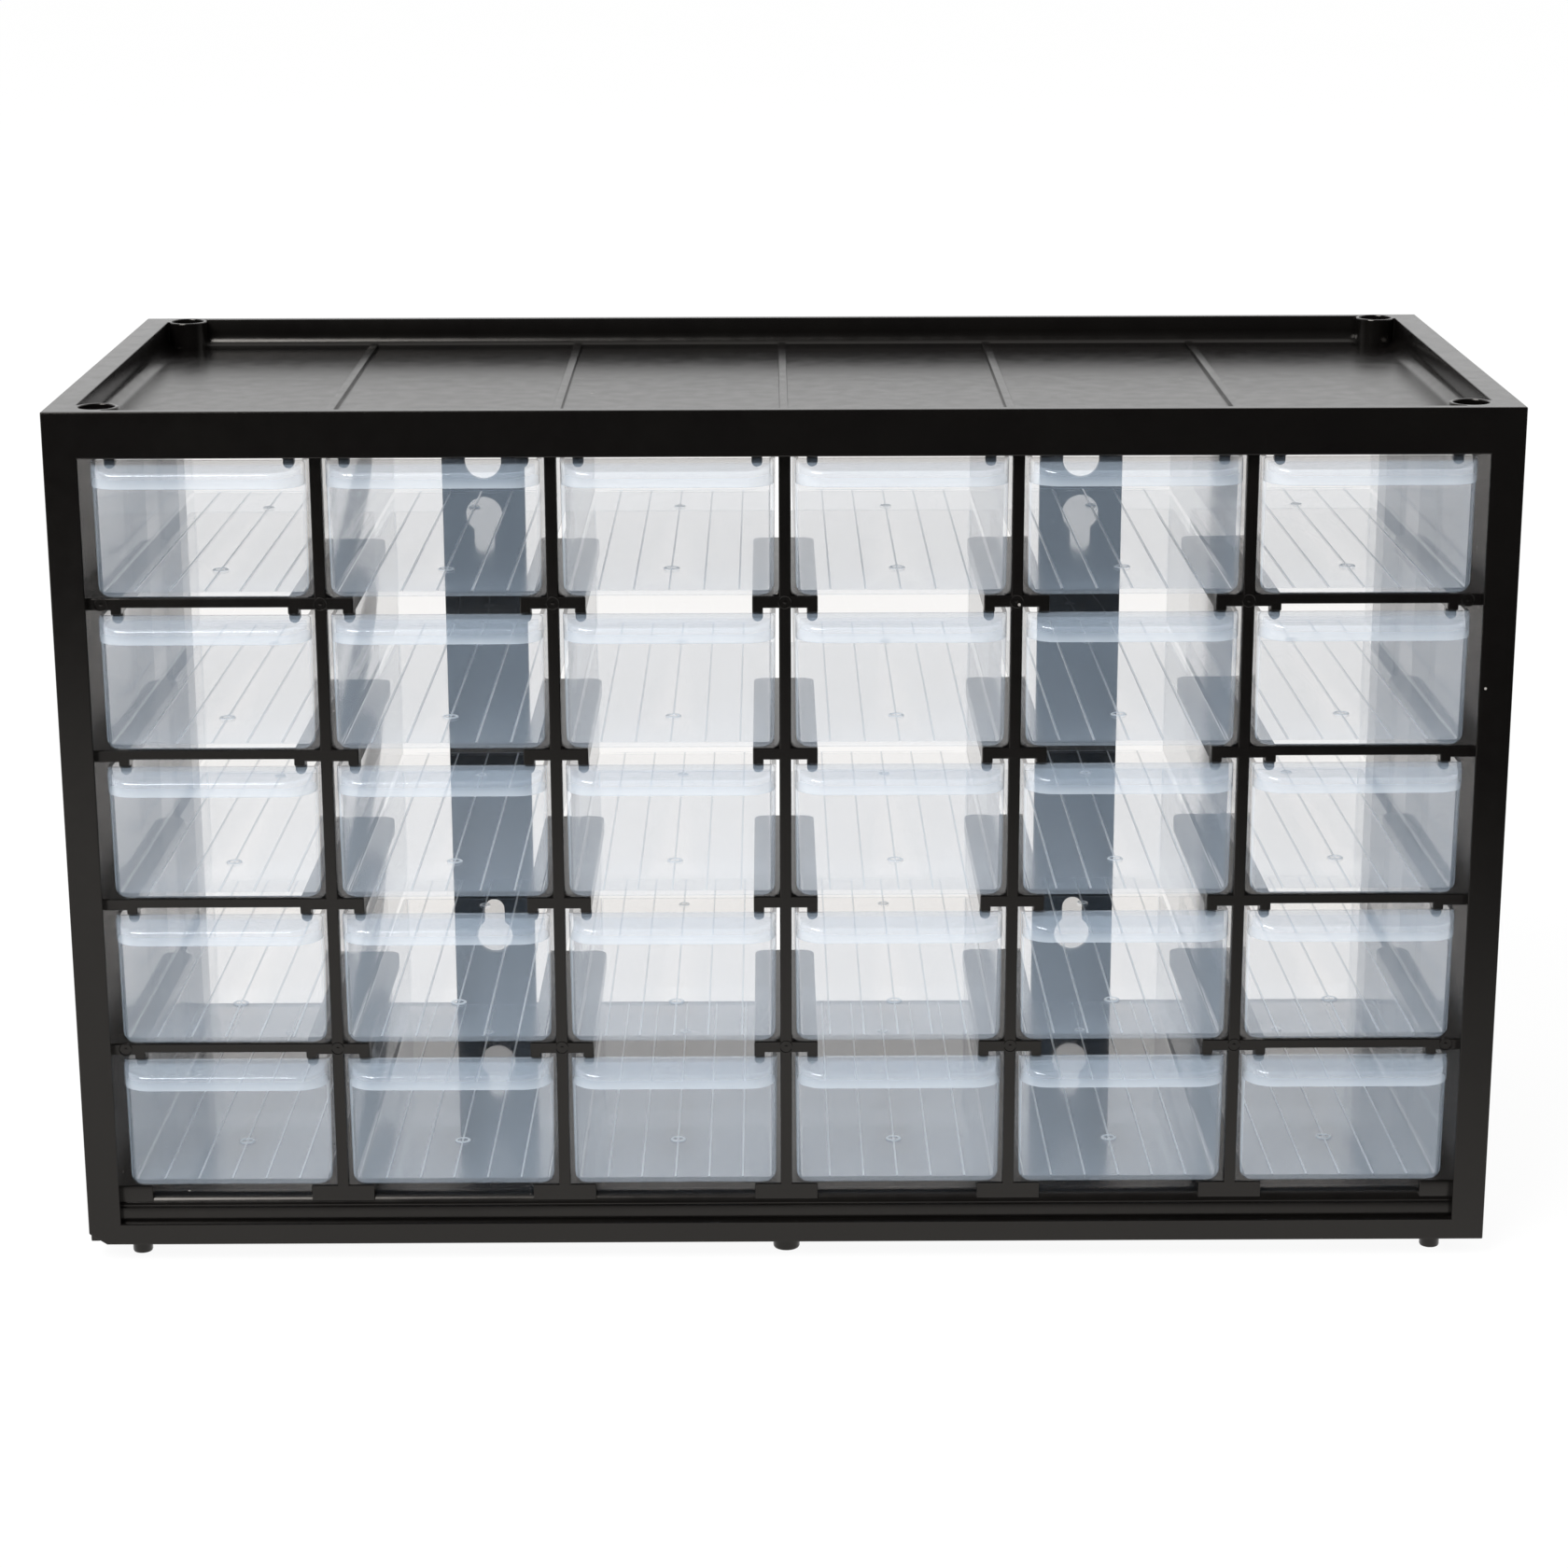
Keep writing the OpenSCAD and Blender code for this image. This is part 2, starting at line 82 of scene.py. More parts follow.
# Front face: height of the strip under the opening, and the chamfer in its lower left corner
BOTTOM_STRIP_H = 5.8
OPENING_BOTTOM_Z = BOTTOM_Z + BOTTOM_STRIP_H
CHAMFER_W, CHAMFER_H = 4.6, 3.0

# Round front edge of the base panel
NOSE_R = 3.4

# Columns and rows of drawers. The runners fall to the rear.
SLOPE_ANGLE = math.radians(1.2)
SLOPE = math.tan(SLOPE_ANGLE)
COLUMNS, ROWS = 6, 5
COLUMN_PITCH = 2 * OPENING_X / COLUMNS
FIRST_RUNNER_Z = corners("runners_row_5")[1].z
ROW_PITCH = (corners("runners_row_1")[1].z - FIRST_RUNNER_Z) / (ROWS - 1)
FIRST_UPRIGHT_X = -(COLUMNS / 2 - 1) * COLUMN_PITCH
UPRIGHT_W = 3.0
GUSSET_R = 1.6
RUNNER_REACH, RUNNER_T, RUNNER_L, RUNNER_CORNER_R = 8.2, 3.1, 80.0, 3.0
TIE_BAR = 2.5
LIP_W, LIP_H, LIP_COVER = 2.7, 1.2, 0.2
NUB_R, NUB_H, NUB_Y = 1.35, 2.6, 3.57

# Radius and height pairs of a gate mark's raised ring and of the dot in it, and its distance from the
# opening's side where it is on a side bracket
GATE_RING = ((1.75, -0.3), (1.75, 0.1), (1.6, 0.16), (1.45, 0.1), (1.4, -0.2), (0.5, -0.2),
             (0.5, 0.06), (0.2, 0.12))
GATE_RING_INSET = 3.2

# Tray
TRAY_RIB_PITCH, TRAY_RIB_W = 2 * RIM_X / COLUMNS, 2.2
COVE_R = 3.7
SOCKET_R, SOCKET_BORE_R, SOCKET_FLOOR, SOCKET_SQUARE = 5.4, 4.5, 1.0, 2.2
SOCKET_SIDES = 48
SOCKET_X = RIM_X - SOCKET_R
SOCKET_YS = (FACE_BACK_Y + SOCKET_R, BACK_Y - SOCKET_R)

# Upright ribs on the inner walls: inner faces, width, and distances of their front edges from the front
WALL_RIBS_X, WALL_RIB_W, WALL_RIB_STARTS = 173.1, 25.0, (62.0, 115.0)

# Stacking pegs with their bosses, and middle feet
PEG_R, PEG_BOSS_WALL = 2.6, 0.8
FOOT_R, FOOT_GAP, FOOT_TIP_R = 3.5, 0.3, 0.5
FOOT_YS = (FACE_BACK_Y + SKIN_T + FOOT_GAP + FOOT_R, TRAY_BACK_Y - FOOT_GAP - FOOT_R)

# Keyholes: heights above the bottom, radius, rise of the slot, radius of the slot
KEYHOLE_ZS = (33.5, 178.5)
KEYHOLE_R, KEYHOLE_RISE, KEYHOLE_SLOT_R = 5.3, 8.5, 3.0

# ---- Sizes of a drawer ----

DRAWER_L, DRAWER_H, DRAWER_WALL = 147.0, 34.5, 1.1
DRAWER_TOP_W, DRAWER_TAPER = 53.4, 0.8
DRAWER_GAP = 0.15
SIDE_EDGE_R, END_EDGE_R, PLAN_R = 3.0, 0.8, 1.2
INNER_END_EDGE_R, INNER_PLAN_R = 0.35, 0.5
GRIP_REACH, GRIP_DROP, GRIP_H, GRIP_CORNER_R, GRIP_INSET = 8.0, 2.2, 5.9, 7.4, 0.3
FOLD_R, INNER_FOLD_R, FOLD_STEPS, LEDGE = 0.8, 0.4, 5, 0.9
FLOOR_RIBS, FLOOR_RIB_PITCH, FLOOR_RIB_W, FLOOR_RIB_H = 5, 8.8, 0.45, 0.3
FLOOR_RIB_TOP = DRAWER_WALL + FLOOR_RIB_H

# Gate marks on the floor: distance from the front, and radius
GATE_MARKS = ((29, 2.1), (120, 1.6))
# Inset and rise over the ribs of the points of a gate mark's dome, and how far from the middle a mark reaches
GATE_DOME, GATE_REACH = ((0.25, 0.2), (0.6, 0.2), (0.9, -0.1)), 2.5

# Depth of the front wall with its inner edges, and the depth and height of its rounded outer edges
FRONT_DEPTH, FRONT_EDGE_DEPTH, FRONT_EDGE_Z = 1.7, 0.9, 0.3

# ---- How the solids are joined and finished ----

# How far a solid runs into the one it is joined to, and the same where there is room
OVERLAP, DEEP_OVERLAP = 0.5, 1.0
# How far a cutting solid stands out of what it cuts
BEYOND = 5.0
# What keeps two faces from lying in one plane
HAIR = 0.01
# How close a point counts as being on a face
NEAR = 0.05
# Radii of the softened edges, on the frame and on a drawer's rim
EDGE_R, RIM_EDGE_R = 0.3, 0.25
# Points this close are merged. Faces that turn less than this are one, and edges that turn more are softened.
MERGED, FLAT_TURN, SHARP_TURN = 0.002, 0.3, 40


def runner_z(row):
    """Height of the front of a row's runners. Row 0 stands for the underside of the tray."""
    return FIRST_RUNNER_Z + (ROWS - row) * ROW_PITCH


# ---- Camera: where the photograph was taken from ----

CAMERA_PLACE = (-3.977, -936.74, 372.77)
CAMERA_YAW, CAMERA_PITCH, CAMERA_ROLL = math.radians(0.2403), math.radians(15.7845), math.radians(0.1583)
SENSOR_W, CAMERA_LENS = 36, 81.26


def place_camera():
    """Looks a little down on the front, from 0.94 m away, as a long lens on a tripod does."""
    level = math.cos(CAMERA_PITCH)
    forward = Vector((math.sin(CAMERA_YAW) * level, math.cos(CAMERA_YAW) * level, -math.sin(CAMERA_PITCH)))
    right = Vector((math.cos(CAMERA_YAW), -math.sin(CAMERA_YAW), 0))
    down = forward.cross(right)
    right, down = (right * math.cos(CAMERA_ROLL) + down * math.sin(CAMERA_ROLL),
                   down * math.cos(CAMERA_ROLL) - right * math.sin(CAMERA_ROLL))
    camera = bpy.data.objects.new("camera", bpy.data.cameras.new("camera"))
    camera.matrix_world = Matrix.Translation(Vector(CAMERA_PLACE) * MM) @ Matrix(
        (right, -down, -forward)).transposed().to_4x4()
    camera.data.sensor_width = SENSOR_W
    camera.data.lens = CAMERA_LENS
    camera.data.clip_start, camera.data.clip_end = 0.01, 50
    scene.collection.objects.link(camera)
    scene.camera = camera


# ---- Materials ----

# Sizes of the patterns, in millimetres. Flow clouds and wear on the black plastic, and the mould's ripple,
# drawn as coarse as it needs to show:
CLOUD, WEAR, RIPPLE, RIPPLE_H = 25.0, 4.5455, 2.0, 0.3
# Spacing of the dust, and the radius of a speck, drawn larger than a real one so that it shows:
DUST_SPACING, DUST_R = 16.667, 0.367
# Clouds in the table's tone:
TABLE_CLOUD = 333.3

# Clear plastic: polypropylene's 1.49, lowered to match the faint mirror images of the thin walls
CLEAR_IOR = 1.42
# Share of light that a wall scatters, what is added where it is seen edge on, and how fast that fades
WALL_MILK, EDGE_ON_MILK, EDGE_ON_POWER = 0.045, 0.15, 8.0
# Share of the scattered light that comes through from behind
BACK_LIT_SHARE = 0.4
# Roughness of a clear wall, and what full milk adds to it
CLEAR_ROUGHNESS, MILKY_ROUGHNESS = 0.03, 0.6

# What is added to a wall's milk in the grip's skirt and top, the rim, the gate marks, the tops of the floor
# ribs, and the edges and the face of the front. In the rim and the front's edges it is a painted highlight.
SKIRT_MILK, GRIP_MILK, RIM_PAINTED_HIGHLIGHT_MILK = 0.4, 0.22, 0.3
GATE_MILK, RIB_MILK, FRONT_EDGE_PAINTED_HIGHLIGHT_MILK, FRONT_MILK = 0.75, 0.5, 0.3, 0.13

# The table: its front edge, half its width, its rear edge, and the share of plain white that the camera sees
TABLE_FRONT_Y, TABLE_HALF_W, TABLE_BACK_Y = -700, 4000, 8000
TABLE_WHITE = 0.93

# Light paths: a view through the cabinet goes through many clear walls
BOUNCES = 32


def linear(hex_colour):
    """An sRGB hex colour as linear RGBA."""
    shares = [int(hex_colour[i:i + 2], 16) / 255 for i in (1, 3, 5)]
    return (*[s / 12.92 if s <= 0.04045 else ((s + 0.055) / 1.055) ** 2.4 for s in shares], 1.0)


def repeats(size):
    """A texture's scale for a pattern of a size in millimetres."""
    return 1 / (size * MM)


def add(tree, kind, inputs=None, stops=(), **properties):
    """Adds a node with its properties, the (place, hex colour) stops of its ramp, and its inputs, which are
    set to values or linked to sockets."""
    made = tree.nodes.new(kind)
    for key, value in properties.items():
        setattr(made, key, value)
    for _ in stops[2:]:
        made.color_ramp.elements.new(0.5)
    for index, (place, colour) in enumerate(stops):
        made.color_ramp.elements[index].position = place
        made.color_ramp.elements[index].color = linear(colour)
    for key, value in (inputs or {}).items():
        if isinstance(value, bpy.types.NodeSocket):
            tree.links.new(value, made.inputs[key])
        else:
            made.inputs[key].default_value = value
    return made


def new_material(name):
    """A material with an empty tree and its output."""
    material = bpy.data.materials.new(name)
    material.use_nodes = True
    material.node_tree.nodes.clear()
    return material, material.node_tree, material.node_tree.nodes.new("ShaderNodeOutputMaterial")


def black_polystyrene(name, smoothest, roughest, sheen=0.5):
    """Injection-moulded black polystyrene: nearly neutral black, with faint flow clouds, a fine ripple from
    the mould and a few specks of dust. The roughness is that of the mould's surface."""
    material, tree, out = new_material(name)
    place = add(tree, "ShaderNodeTexCoord").outputs["Object"]
    clouds = add(tree, "ShaderNodeTexNoise", {
        "Vector": place, "Scale": repeats(CLOUD), "Detail": 3}).outputs["Fac"]
    body = add(tree, "ShaderNodeValToRGB", {"Fac": clouds}, stops=((0.3, "#060505"), (0.75, "#090807")))
    cell = add(tree, "ShaderNodeTexVoronoi", {
        "Vector": place, "Scale": repeats(DUST_SPACING), "Randomness": 1.0})
    near = add(tree, "ShaderNodeMath", {0: cell.outputs["Distance"], 1: DUST_R / DUST_SPACING},
               operation="LESS_THAN")
    chosen = add(tree, "ShaderNodeSeparateColor", {"Color": cell.outputs["Color"]})
    few = add(tree, "ShaderNodeMath", {0: chosen.outputs["Red"], 1: 0.4}, operation="GREATER_THAN")
    dust = add(tree, "ShaderNodeMath", {0: near.outputs[0], 1: few.outputs[0]}, operation="MULTIPLY")
    colour = add(tree, "ShaderNodeMix", {"Factor": dust.outputs[0], "A": body.outputs["Color"],
                                         "B": linear("#8d8a86")}, data_type="RGBA")
    wear = add(tree, "ShaderNodeTexNoise", {
        "Vector": place, "Scale": repeats(WEAR), "Detail": 4}).outputs["Fac"]
    rough = add(tree, "ShaderNodeMapRange", {"Value": wear, "From Min": 0.3, "From Max": 0.7,
                                             "To Min": smoothest, "To Max": roughest})
    ripple = add(tree, "ShaderNodeTexNoise", {
        "Vector": place, "Scale": repeats(RIPPLE), "Detail": 2}).outputs["Fac"]
    bump = add(tree, "ShaderNodeBump", {"Height": ripple, "Strength": 0.008, "Distance": RIPPLE_H * MM})
    shader = add(tree, "ShaderNodeBsdfPrincipled", {
        "Base Color": colour.outputs["Result"], "Roughness": rough.outputs["Result"],
        "Normal": bump.outputs["Normal"], "IOR": 1.45, "Specular IOR Level": sheen,
        "Specular Tint": (1.0, 0.95, 0.89, 1.0)})
    tree.links.new(shader.outputs[0], out.inputs["Surface"])
    return material


def clear_polypropylene():
    """Injection-moulded clear polypropylene. Its walls are too thin to bend the view, so light goes straight
    on through them, and each wall mirrors and scatters at the side that is met first. The scattered light is
    bluish. It is strongest where a wall is seen edge on, and where the piece's attribute adds to it, which in
    the rim and the front's edges is a painted highlight."""
    material, tree, out = new_material("clear_polypropylene_moulded")
    behind = add(tree, "ShaderNodeNewGeometry").outputs["Backfacing"]
    met_first = add(tree, "ShaderNodeMath", {0: 1.0, 1: behind}, operation="SUBTRACT").outputs[0]
    one_face = add(tree, "ShaderNodeFresnel", {"IOR": CLEAR_IOR}).outputs[0]
    both_faces = add(tree, "ShaderNodeMath", {0: one_face, 1: 2.0}, operation="MULTIPLY").outputs[0]
    above_one = add(tree, "ShaderNodeMath", {0: one_face, 1: 1.0}, operation="ADD").outputs[0]
    of_wall = add(tree, "ShaderNodeMath", {0: both_faces, 1: above_one}, operation="DIVIDE").outputs[0]
    mirror_share = add(tree, "ShaderNodeMath", {0: of_wall, 1: met_first}, operation="MULTIPLY").outputs[0]
    edge_on = add(tree, "ShaderNodeLayerWeight", {"Blend": 0.5}).outputs["Facing"]
    steep = add(tree, "ShaderNodeMath", {0: edge_on, 1: EDGE_ON_POWER}, operation="POWER").outputs[0]
    added = add(tree, "ShaderNodeAttribute", attribute_name="milk_and_painted_highlight").outputs["Fac"]
    milk_and_painted_highlight = add(tree, "ShaderNodeMath", {0: steep, 1: EDGE_ON_MILK, 2: WALL_MILK},
               operation="MULTIPLY_ADD").outputs[0]
    milk_and_painted_highlight = add(tree, "ShaderNodeMath", {0: added, 1: milk_and_painted_highlight}, operation="ADD").outputs[0]
    milk_and_painted_highlight = add(tree, "ShaderNodeMath", {0: milk_and_painted_highlight, 1: met_first}, operation="MULTIPLY").outputs[0]
    tint = add(tree, "ShaderNodeValToRGB", {"Fac": added}, stops=(
        (0.0, "#c8e1fc"), (0.2, "#d6e8fb"), (0.6, "#eaf2f9"))).outputs["Color"]
    clear = add(tree, "ShaderNodeBsdfTransparent", {"Color": linear("#fffefd")})
    front_lit = add(tree, "ShaderNodeBsdfDiffuse", {"Color": tint})
    back_lit = add(tree, "ShaderNodeBsdfTranslucent", {"Color": tint})
    haze = add(tree, "ShaderNodeMixShader", {
        0: BACK_LIT_SHARE, 1: front_lit.outputs[0], 2: back_lit.outputs[0]})
    body = add(tree, "ShaderNodeMixShader", {0: milk_and_painted_highlight, 1: clear.outputs[0], 2: haze.outputs[0]})
    soft = add(tree, "ShaderNodeMath", {0: added, 1: MILKY_ROUGHNESS, 2: CLEAR_ROUGHNESS},
               operation="MULTIPLY_ADD").outputs[0]
    gloss = add(tree, "ShaderNodeBsdfGlossy", {"Roughness": soft})
    wall = add(tree, "ShaderNodeMixShader", {0: mirror_share, 1: body.outputs[0], 2: gloss.outputs[0]})
    through = add(tree, "ShaderNodeBsdfTransparent", {"Color": (0.985, 0.988, 0.99, 1)})
    path = add(tree, "ShaderNodeLightPath")
    shown = add(tree, "ShaderNodeMixShader", {
        0: path.outputs["Is Shadow Ray"], 1: wall.outputs[0], 2: through.outputs[0]})
    tree.links.new(shown.outputs[0], out.inputs["Surface"])
    return material


def pale_floor():
    """A smooth pale studio table: white to the camera, with soft shadows kept. In reflections only it is a
    painted reflection:
    white behind the cabinet, fading to painted dark towards the front and the right."""
    material, tree, out = new_material("pale_studio_table")
    place = add(tree, "ShaderNodeTexCoord").outputs["Object"]
    tone = add(tree, "ShaderNodeTexNoise", {"Vector": place, "Scale": repeats(TABLE_CLOUD)}).outputs["Fac"]
    colour = add(tree, "ShaderNodeValToRGB", {"Fac": tone}, stops=((0.3, "#f4f4f3"), (0.7, "#f8f8f7")))
    matt = add(tree, "ShaderNodeBsdfDiffuse", {"Color": colour.outputs["Color"]})
    white = add(tree, "ShaderNodeEmission", {"Color": (1, 1, 1, 1), "Strength": 1.0})
    path = add(tree, "ShaderNodeLightPath").outputs
    way = add(tree, "ShaderNodeSeparateXYZ", {0: place}).outputs
    # Painted reflection: glossy rays see the table white behind the cabinet, fading to painted dark to the
    # front and right
    painted_reflection_fade = add(tree, "ShaderNodeMath", {0: way["X"], 1: -0.9, 2: way["Y"]},
              operation="MULTIPLY_ADD").outputs[0]
    sheen = add(tree, "ShaderNodeMapRange", {"Value": painted_reflection_fade, "From Min": -0.75, "From Max": -0.25}).outputs[0]
    behind = add(tree, "ShaderNodeMath", {0: way["Y"], 1: 0.0}, operation="GREATER_THAN").outputs[0]
    sheen = add(tree, "ShaderNodeMath", {0: sheen, 1: behind}, operation="MAXIMUM").outputs[0]
    sheen = add(tree, "ShaderNodeMath", {0: sheen, 1: path["Is Glossy Ray"]}, operation="MULTIPLY").outputs[0]
    seen = add(tree, "ShaderNodeMath", {0: path["Is Camera Ray"], 1: path["Is Transmission Ray"]},
               operation="MAXIMUM").outputs[0]
    share = add(tree, "ShaderNodeMath", {0: seen, 1: sheen}, operation="MAXIMUM").outputs[0]
    share = add(tree, "ShaderNodeMath", {0: share, 1: TABLE_WHITE}, operation="MULTIPLY").outputs[0]
    # Painted dark reflection, seen by glossy rays in place of the lit table
    painted_dark_reflection = add(tree, "ShaderNodeBsdfDiffuse", {"Color": linear("#1c1c1c")})
    matt_or_painted_dark_reflection = add(tree, "ShaderNodeMixShader", {
        0: path["Is Glossy Ray"], 1: matt.outputs[0], 2: painted_dark_reflection.outputs[0]})
    mix = add(tree, "ShaderNodeMixShader", {0: share, 1: matt_or_painted_dark_reflection.outputs[0], 2: white.outputs[0]})
    tree.links.new(mix.outputs[0], out.inputs["Surface"])
    return material


BLACK = black_polystyrene("black_polystyrene_moulded", 0.19, 0.24)
BLACK_MATT = black_polystyrene("black_polystyrene_moulded_matt", 0.6, 0.7, 0.2)
CLEAR = clear_polypropylene()


# ---- Solids: lists of vertices and faces, in millimetres ----

def angles(last, step):
    """Angles from 0 to a last one, given in degrees, in radians."""
    return [math.radians(a) for a in range(0, last + 1, step)]


def lofted(rings, slope=0.0):
    """A closed solid through rings of points that run counterclockwise seen from where the rings end."""
    count = len(rings[0])
    vertices = [Vector((p[0], p[1], p[2] - slope * (p[1] - GRID_Y))) for ring in rings for p in ring]
    faces = [list(range(count))[::-1], [len(vertices) - count + i for i in range(count)]]
    for start in range(0, len(vertices) - count, count):
        faces += [[start + i, start + (i + 1) % count, start + count + (i + 1) % count, start + count + i]
                  for i in range(count)]
    return vertices, faces


def prism(axis, outline, low, high, slope=0.0):
    """An outline drawn from low to high along an axis. Its numbers are the other two axes in the order of the
    alphabet. With a slope, the solid falls by that share of its depth behind the grid."""
    area = sum(outline[i - 1][0] * outline[i][1] - outline[i][0] * outline[i - 1][1]
               for i in range(len(outline)))
    if (area > 0) == (axis == "y"):
        outline = outline[::-1]
    place = {"x": lambda t, u, v: (t, u, v),
             "y": lambda t, u, v: (u, t, v),
             "z": lambda t, u, v: (u, v, t)}[axis]
    return lofted([[place(level, u, v) for u, v in outline] for level in (low, high)], slope)


def box(low, high, slope=0.0):
    """A plain box from its low corner to its high corner."""
    outline = [(low[0], low[1]), (high[0], low[1]), (high[0], high[1]), (low[0], high[1])]
    return prism("z", outline, low[2], high[2], slope)


def circle(u, v, radius, count=32):
    """The outline of a disc."""
    turns = [2 * math.pi * i / count for i in range(count)]
    return [(u + radius * math.cos(turn), v + radius * math.sin(turn)) for turn in turns]


def turned(x, y, profile, count=32):
    """A solid turned about an upright axis through (radius, height) pairs, from the bottom up."""
    return lofted([[(*point, z) for point in circle(x, y, radius, count)] for radius, z in profile])


def rounded(points, steps_per_corner):
    """An outline from (u, v, radius) corners, each rounded to its radius."""
    made = []
    for i, (u, v, radius) in enumerate(points):
        if radius <= 0:
            made.append((u, v))
            continue
        here = Vector((u, v))
        back = (Vector(points[i - 1][:2]) - here).normalized()
        on = (Vector(points[(i + 1) % len(points)][:2]) - here).normalized()
        half = back.angle(on) / 2
        centre = here + (back + on).normalized() * (radius / math.sin(half))
        start = here + back * (radius / math.tan(half)) - centre
        end = here + on * (radius / math.tan(half)) - centre
        turn = math.atan2(start.x * end.y - start.y * end.x, start.dot(end))
        for step in range(steps_per_corner + 1):
            angle = turn * step / steps_per_corner
            made.append((centre.x + start.x * math.cos(angle) - start.y * math.sin(angle),
                         centre.y + start.x * math.sin(angle) + start.y * math.cos(angle)))
    return made


def mirrored(solid):
    """The same solid on the other side of the middle."""
    vertices, faces = solid
    return [Vector((-v.x, v.y, v.z)) for v in vertices], [f[::-1] for f in faces]


def both_sides(*solids):
    """Solids on the right and their mirror images on the left."""
    return [*solids, *(mirrored(s) for s in solids)]


def moved(solid, x):
    """The same solid further to the right."""
    vertices, faces = solid
    return [v + Vector((x, 0, 0)) for v in vertices], faces


def as_object(name, *solids):
    """An object that holds solids, in millimetres."""
    mesh = bpy.data.meshes.new(name)
    vertices, faces = [], []
    for more_vertices, more_faces in solids:
        faces += [[len(vertices) + i for i in face] for face in more_faces]
        vertices += more_vertices
    mesh.from_pydata([tuple(v) for v in vertices], [], faces)
    made = bpy.data.objects.new(name, mesh)
    scene.collection.objects.link(made)
    return made


def baked(piece):
    """Applies the piece's modifiers, and leaves a plain mesh."""
    ready = piece.evaluated_get(bpy.context.evaluated_depsgraph_get())
    mesh = bpy.data.meshes.new_from_object(ready)
    piece.modifiers.clear()
    piece.data = mesh
    return piece


def row_tree():
    """Geometry Nodes that set copies of a solid in a row."""
    tree = bpy.data.node_groups.new("row_of_copies", "GeometryNodeTree")
    face = tree.interface
    for name, kind in (("Geometry", "NodeSocketGeometry"), ("Count", "NodeSocketInt"),
                       ("Step", "NodeSocketVector"), ("Material", "NodeSocketMaterial")):
        face.new_socket(name, in_out="INPUT", socket_type=kind)
    face.new_socket("Geometry", in_out="OUTPUT", socket_type="NodeSocketGeometry")
    given = add(tree, "NodeGroupInput").outputs
    line = add(tree, "GeometryNodeMeshLine", {"Count": given["Count"], "Offset": given["Step"]})
    row = add(tree, "GeometryNodeInstanceOnPoints", {
        "Points": line.outputs[0], "Instance": given["Geometry"]})
    real = add(tree, "GeometryNodeRealizeInstances", {0: row.outputs[0]})
    dressed = add(tree, "GeometryNodeSetMaterial", {
        "Geometry": real.outputs[0], "Material": given["Material"]})
    add(tree, "NodeGroupOutput", {0: dressed.outputs[0]})
    return tree


ROW_TREE = row_tree()
ROW_INPUTS = {s.name: s.identifier for s in ROW_TREE.interface.items_tree if s.in_out == "INPUT"}


def in_a_row(solid, count, *step):
    """Copies of a solid, each one step further than the last."""
    piece = as_object("row", solid)
    modifier = piece.modifiers.new("row", "NODES")
    modifier.node_group = ROW_TREE
    modifier[ROW_INPUTS["Count"]] = count
    modifier[ROW_INPUTS["Step"]] = step
    modifier[ROW_INPUTS["Material"]] = BLACK
    mesh = baked(piece).data
    made = [v.co.copy() for v in mesh.vertices], [list(p.vertices) for p in mesh.polygons]
    bpy.data.objects.remove(piece)
    return made


def joined(name, first, *rounds):
    """One closed solid: the first one, with groups of solids added or cut away in turn."""
    piece = as_object(name, first)
    tools = []
    for kind, group in rounds:
        for solid in group:
            tools.append(as_object(name + "_tool", solid))
            modifier = piece.modifiers.new("join", "BOOLEAN")
            modifier.operation, modifier.solver, modifier.object = kind, "MANIFOLD", tools[-1]
    baked(piece)
    for tool in tools:
        bpy.data.objects.remove(tool)
    return piece


def soften(piece, width, chosen=lambda edge: True):
    """Rounds the sharp outer edges of a moulding, or the chosen ones, by a small radius."""
    work = bmesh.new()
    work.from_mesh(piece.data)
    bmesh.ops.remove_doubles(work, verts=work.verts, dist=MERGED)
    bmesh.ops.dissolve_limit(work, angle_limit=math.radians(FLAT_TURN), verts=work.verts, edges=work.edges)
    sharp = [e for e in work.edges if len(e.link_faces) == 2
             and e.calc_face_angle_signed() > math.radians(SHARP_TURN)
             and e.calc_length() > width and chosen(e)]
    bmesh.ops.bevel(work, geom=sharp, offset=width, offset_type="OFFSET", segments=2, profile=0.5,
                    affect="EDGES", clamp_overlap=False)
    work.to_mesh(piece.data)
    work.free()
    return piece


def shade(mesh, turn=24.0, contrast=20.0, nearly_flat=1.0):
    """Smooth shading, except at folds that turn more, and along faces many times larger than their
    neighbours, which stay flat to their edges."""
    mesh.shade_smooth()
    work = bmesh.new()
    work.from_mesh(mesh)
    for edge in work.edges:
        sizes = sorted(f.calc_area() for f in edge.link_faces)
        if len(sizes) != 2 or edge.calc_face_angle() > math.radians(turn) or (
                sizes[1] > contrast * sizes[0] and edge.calc_face_angle() > math.radians(nearly_flat)):
            edge.smooth = False
    work.to_mesh(mesh)
    work.free()


def finish_piece(piece, material, body, slot, *replaced):
    """Turns a piece to metres, gives it its material, and hands it to the frame."""
    shade(piece.data)
    piece.data.transform(Matrix.Scale(MM, 4))
    piece.data.materials.clear()
    piece.data.materials.append(material)
    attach(piece, body)
    if replaced:
        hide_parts(*replaced)


# ---- The case: front, sides, tray, base and feet ----

def front_face():
    """The front, with its lower left corner cut off, before its opening is cut."""
    outline = [(-HALF_W + CHAMFER_W, BOTTOM_Z), (HALF_W, BOTTOM_Z), (HALF_W, TOP_Z), (-HALF_W, TOP_Z),
               (-HALF_W, BOTTOM_Z + CHAMFER_H)]
    return prism("y", outline, FRONT_Y, FACE_BACK_Y)


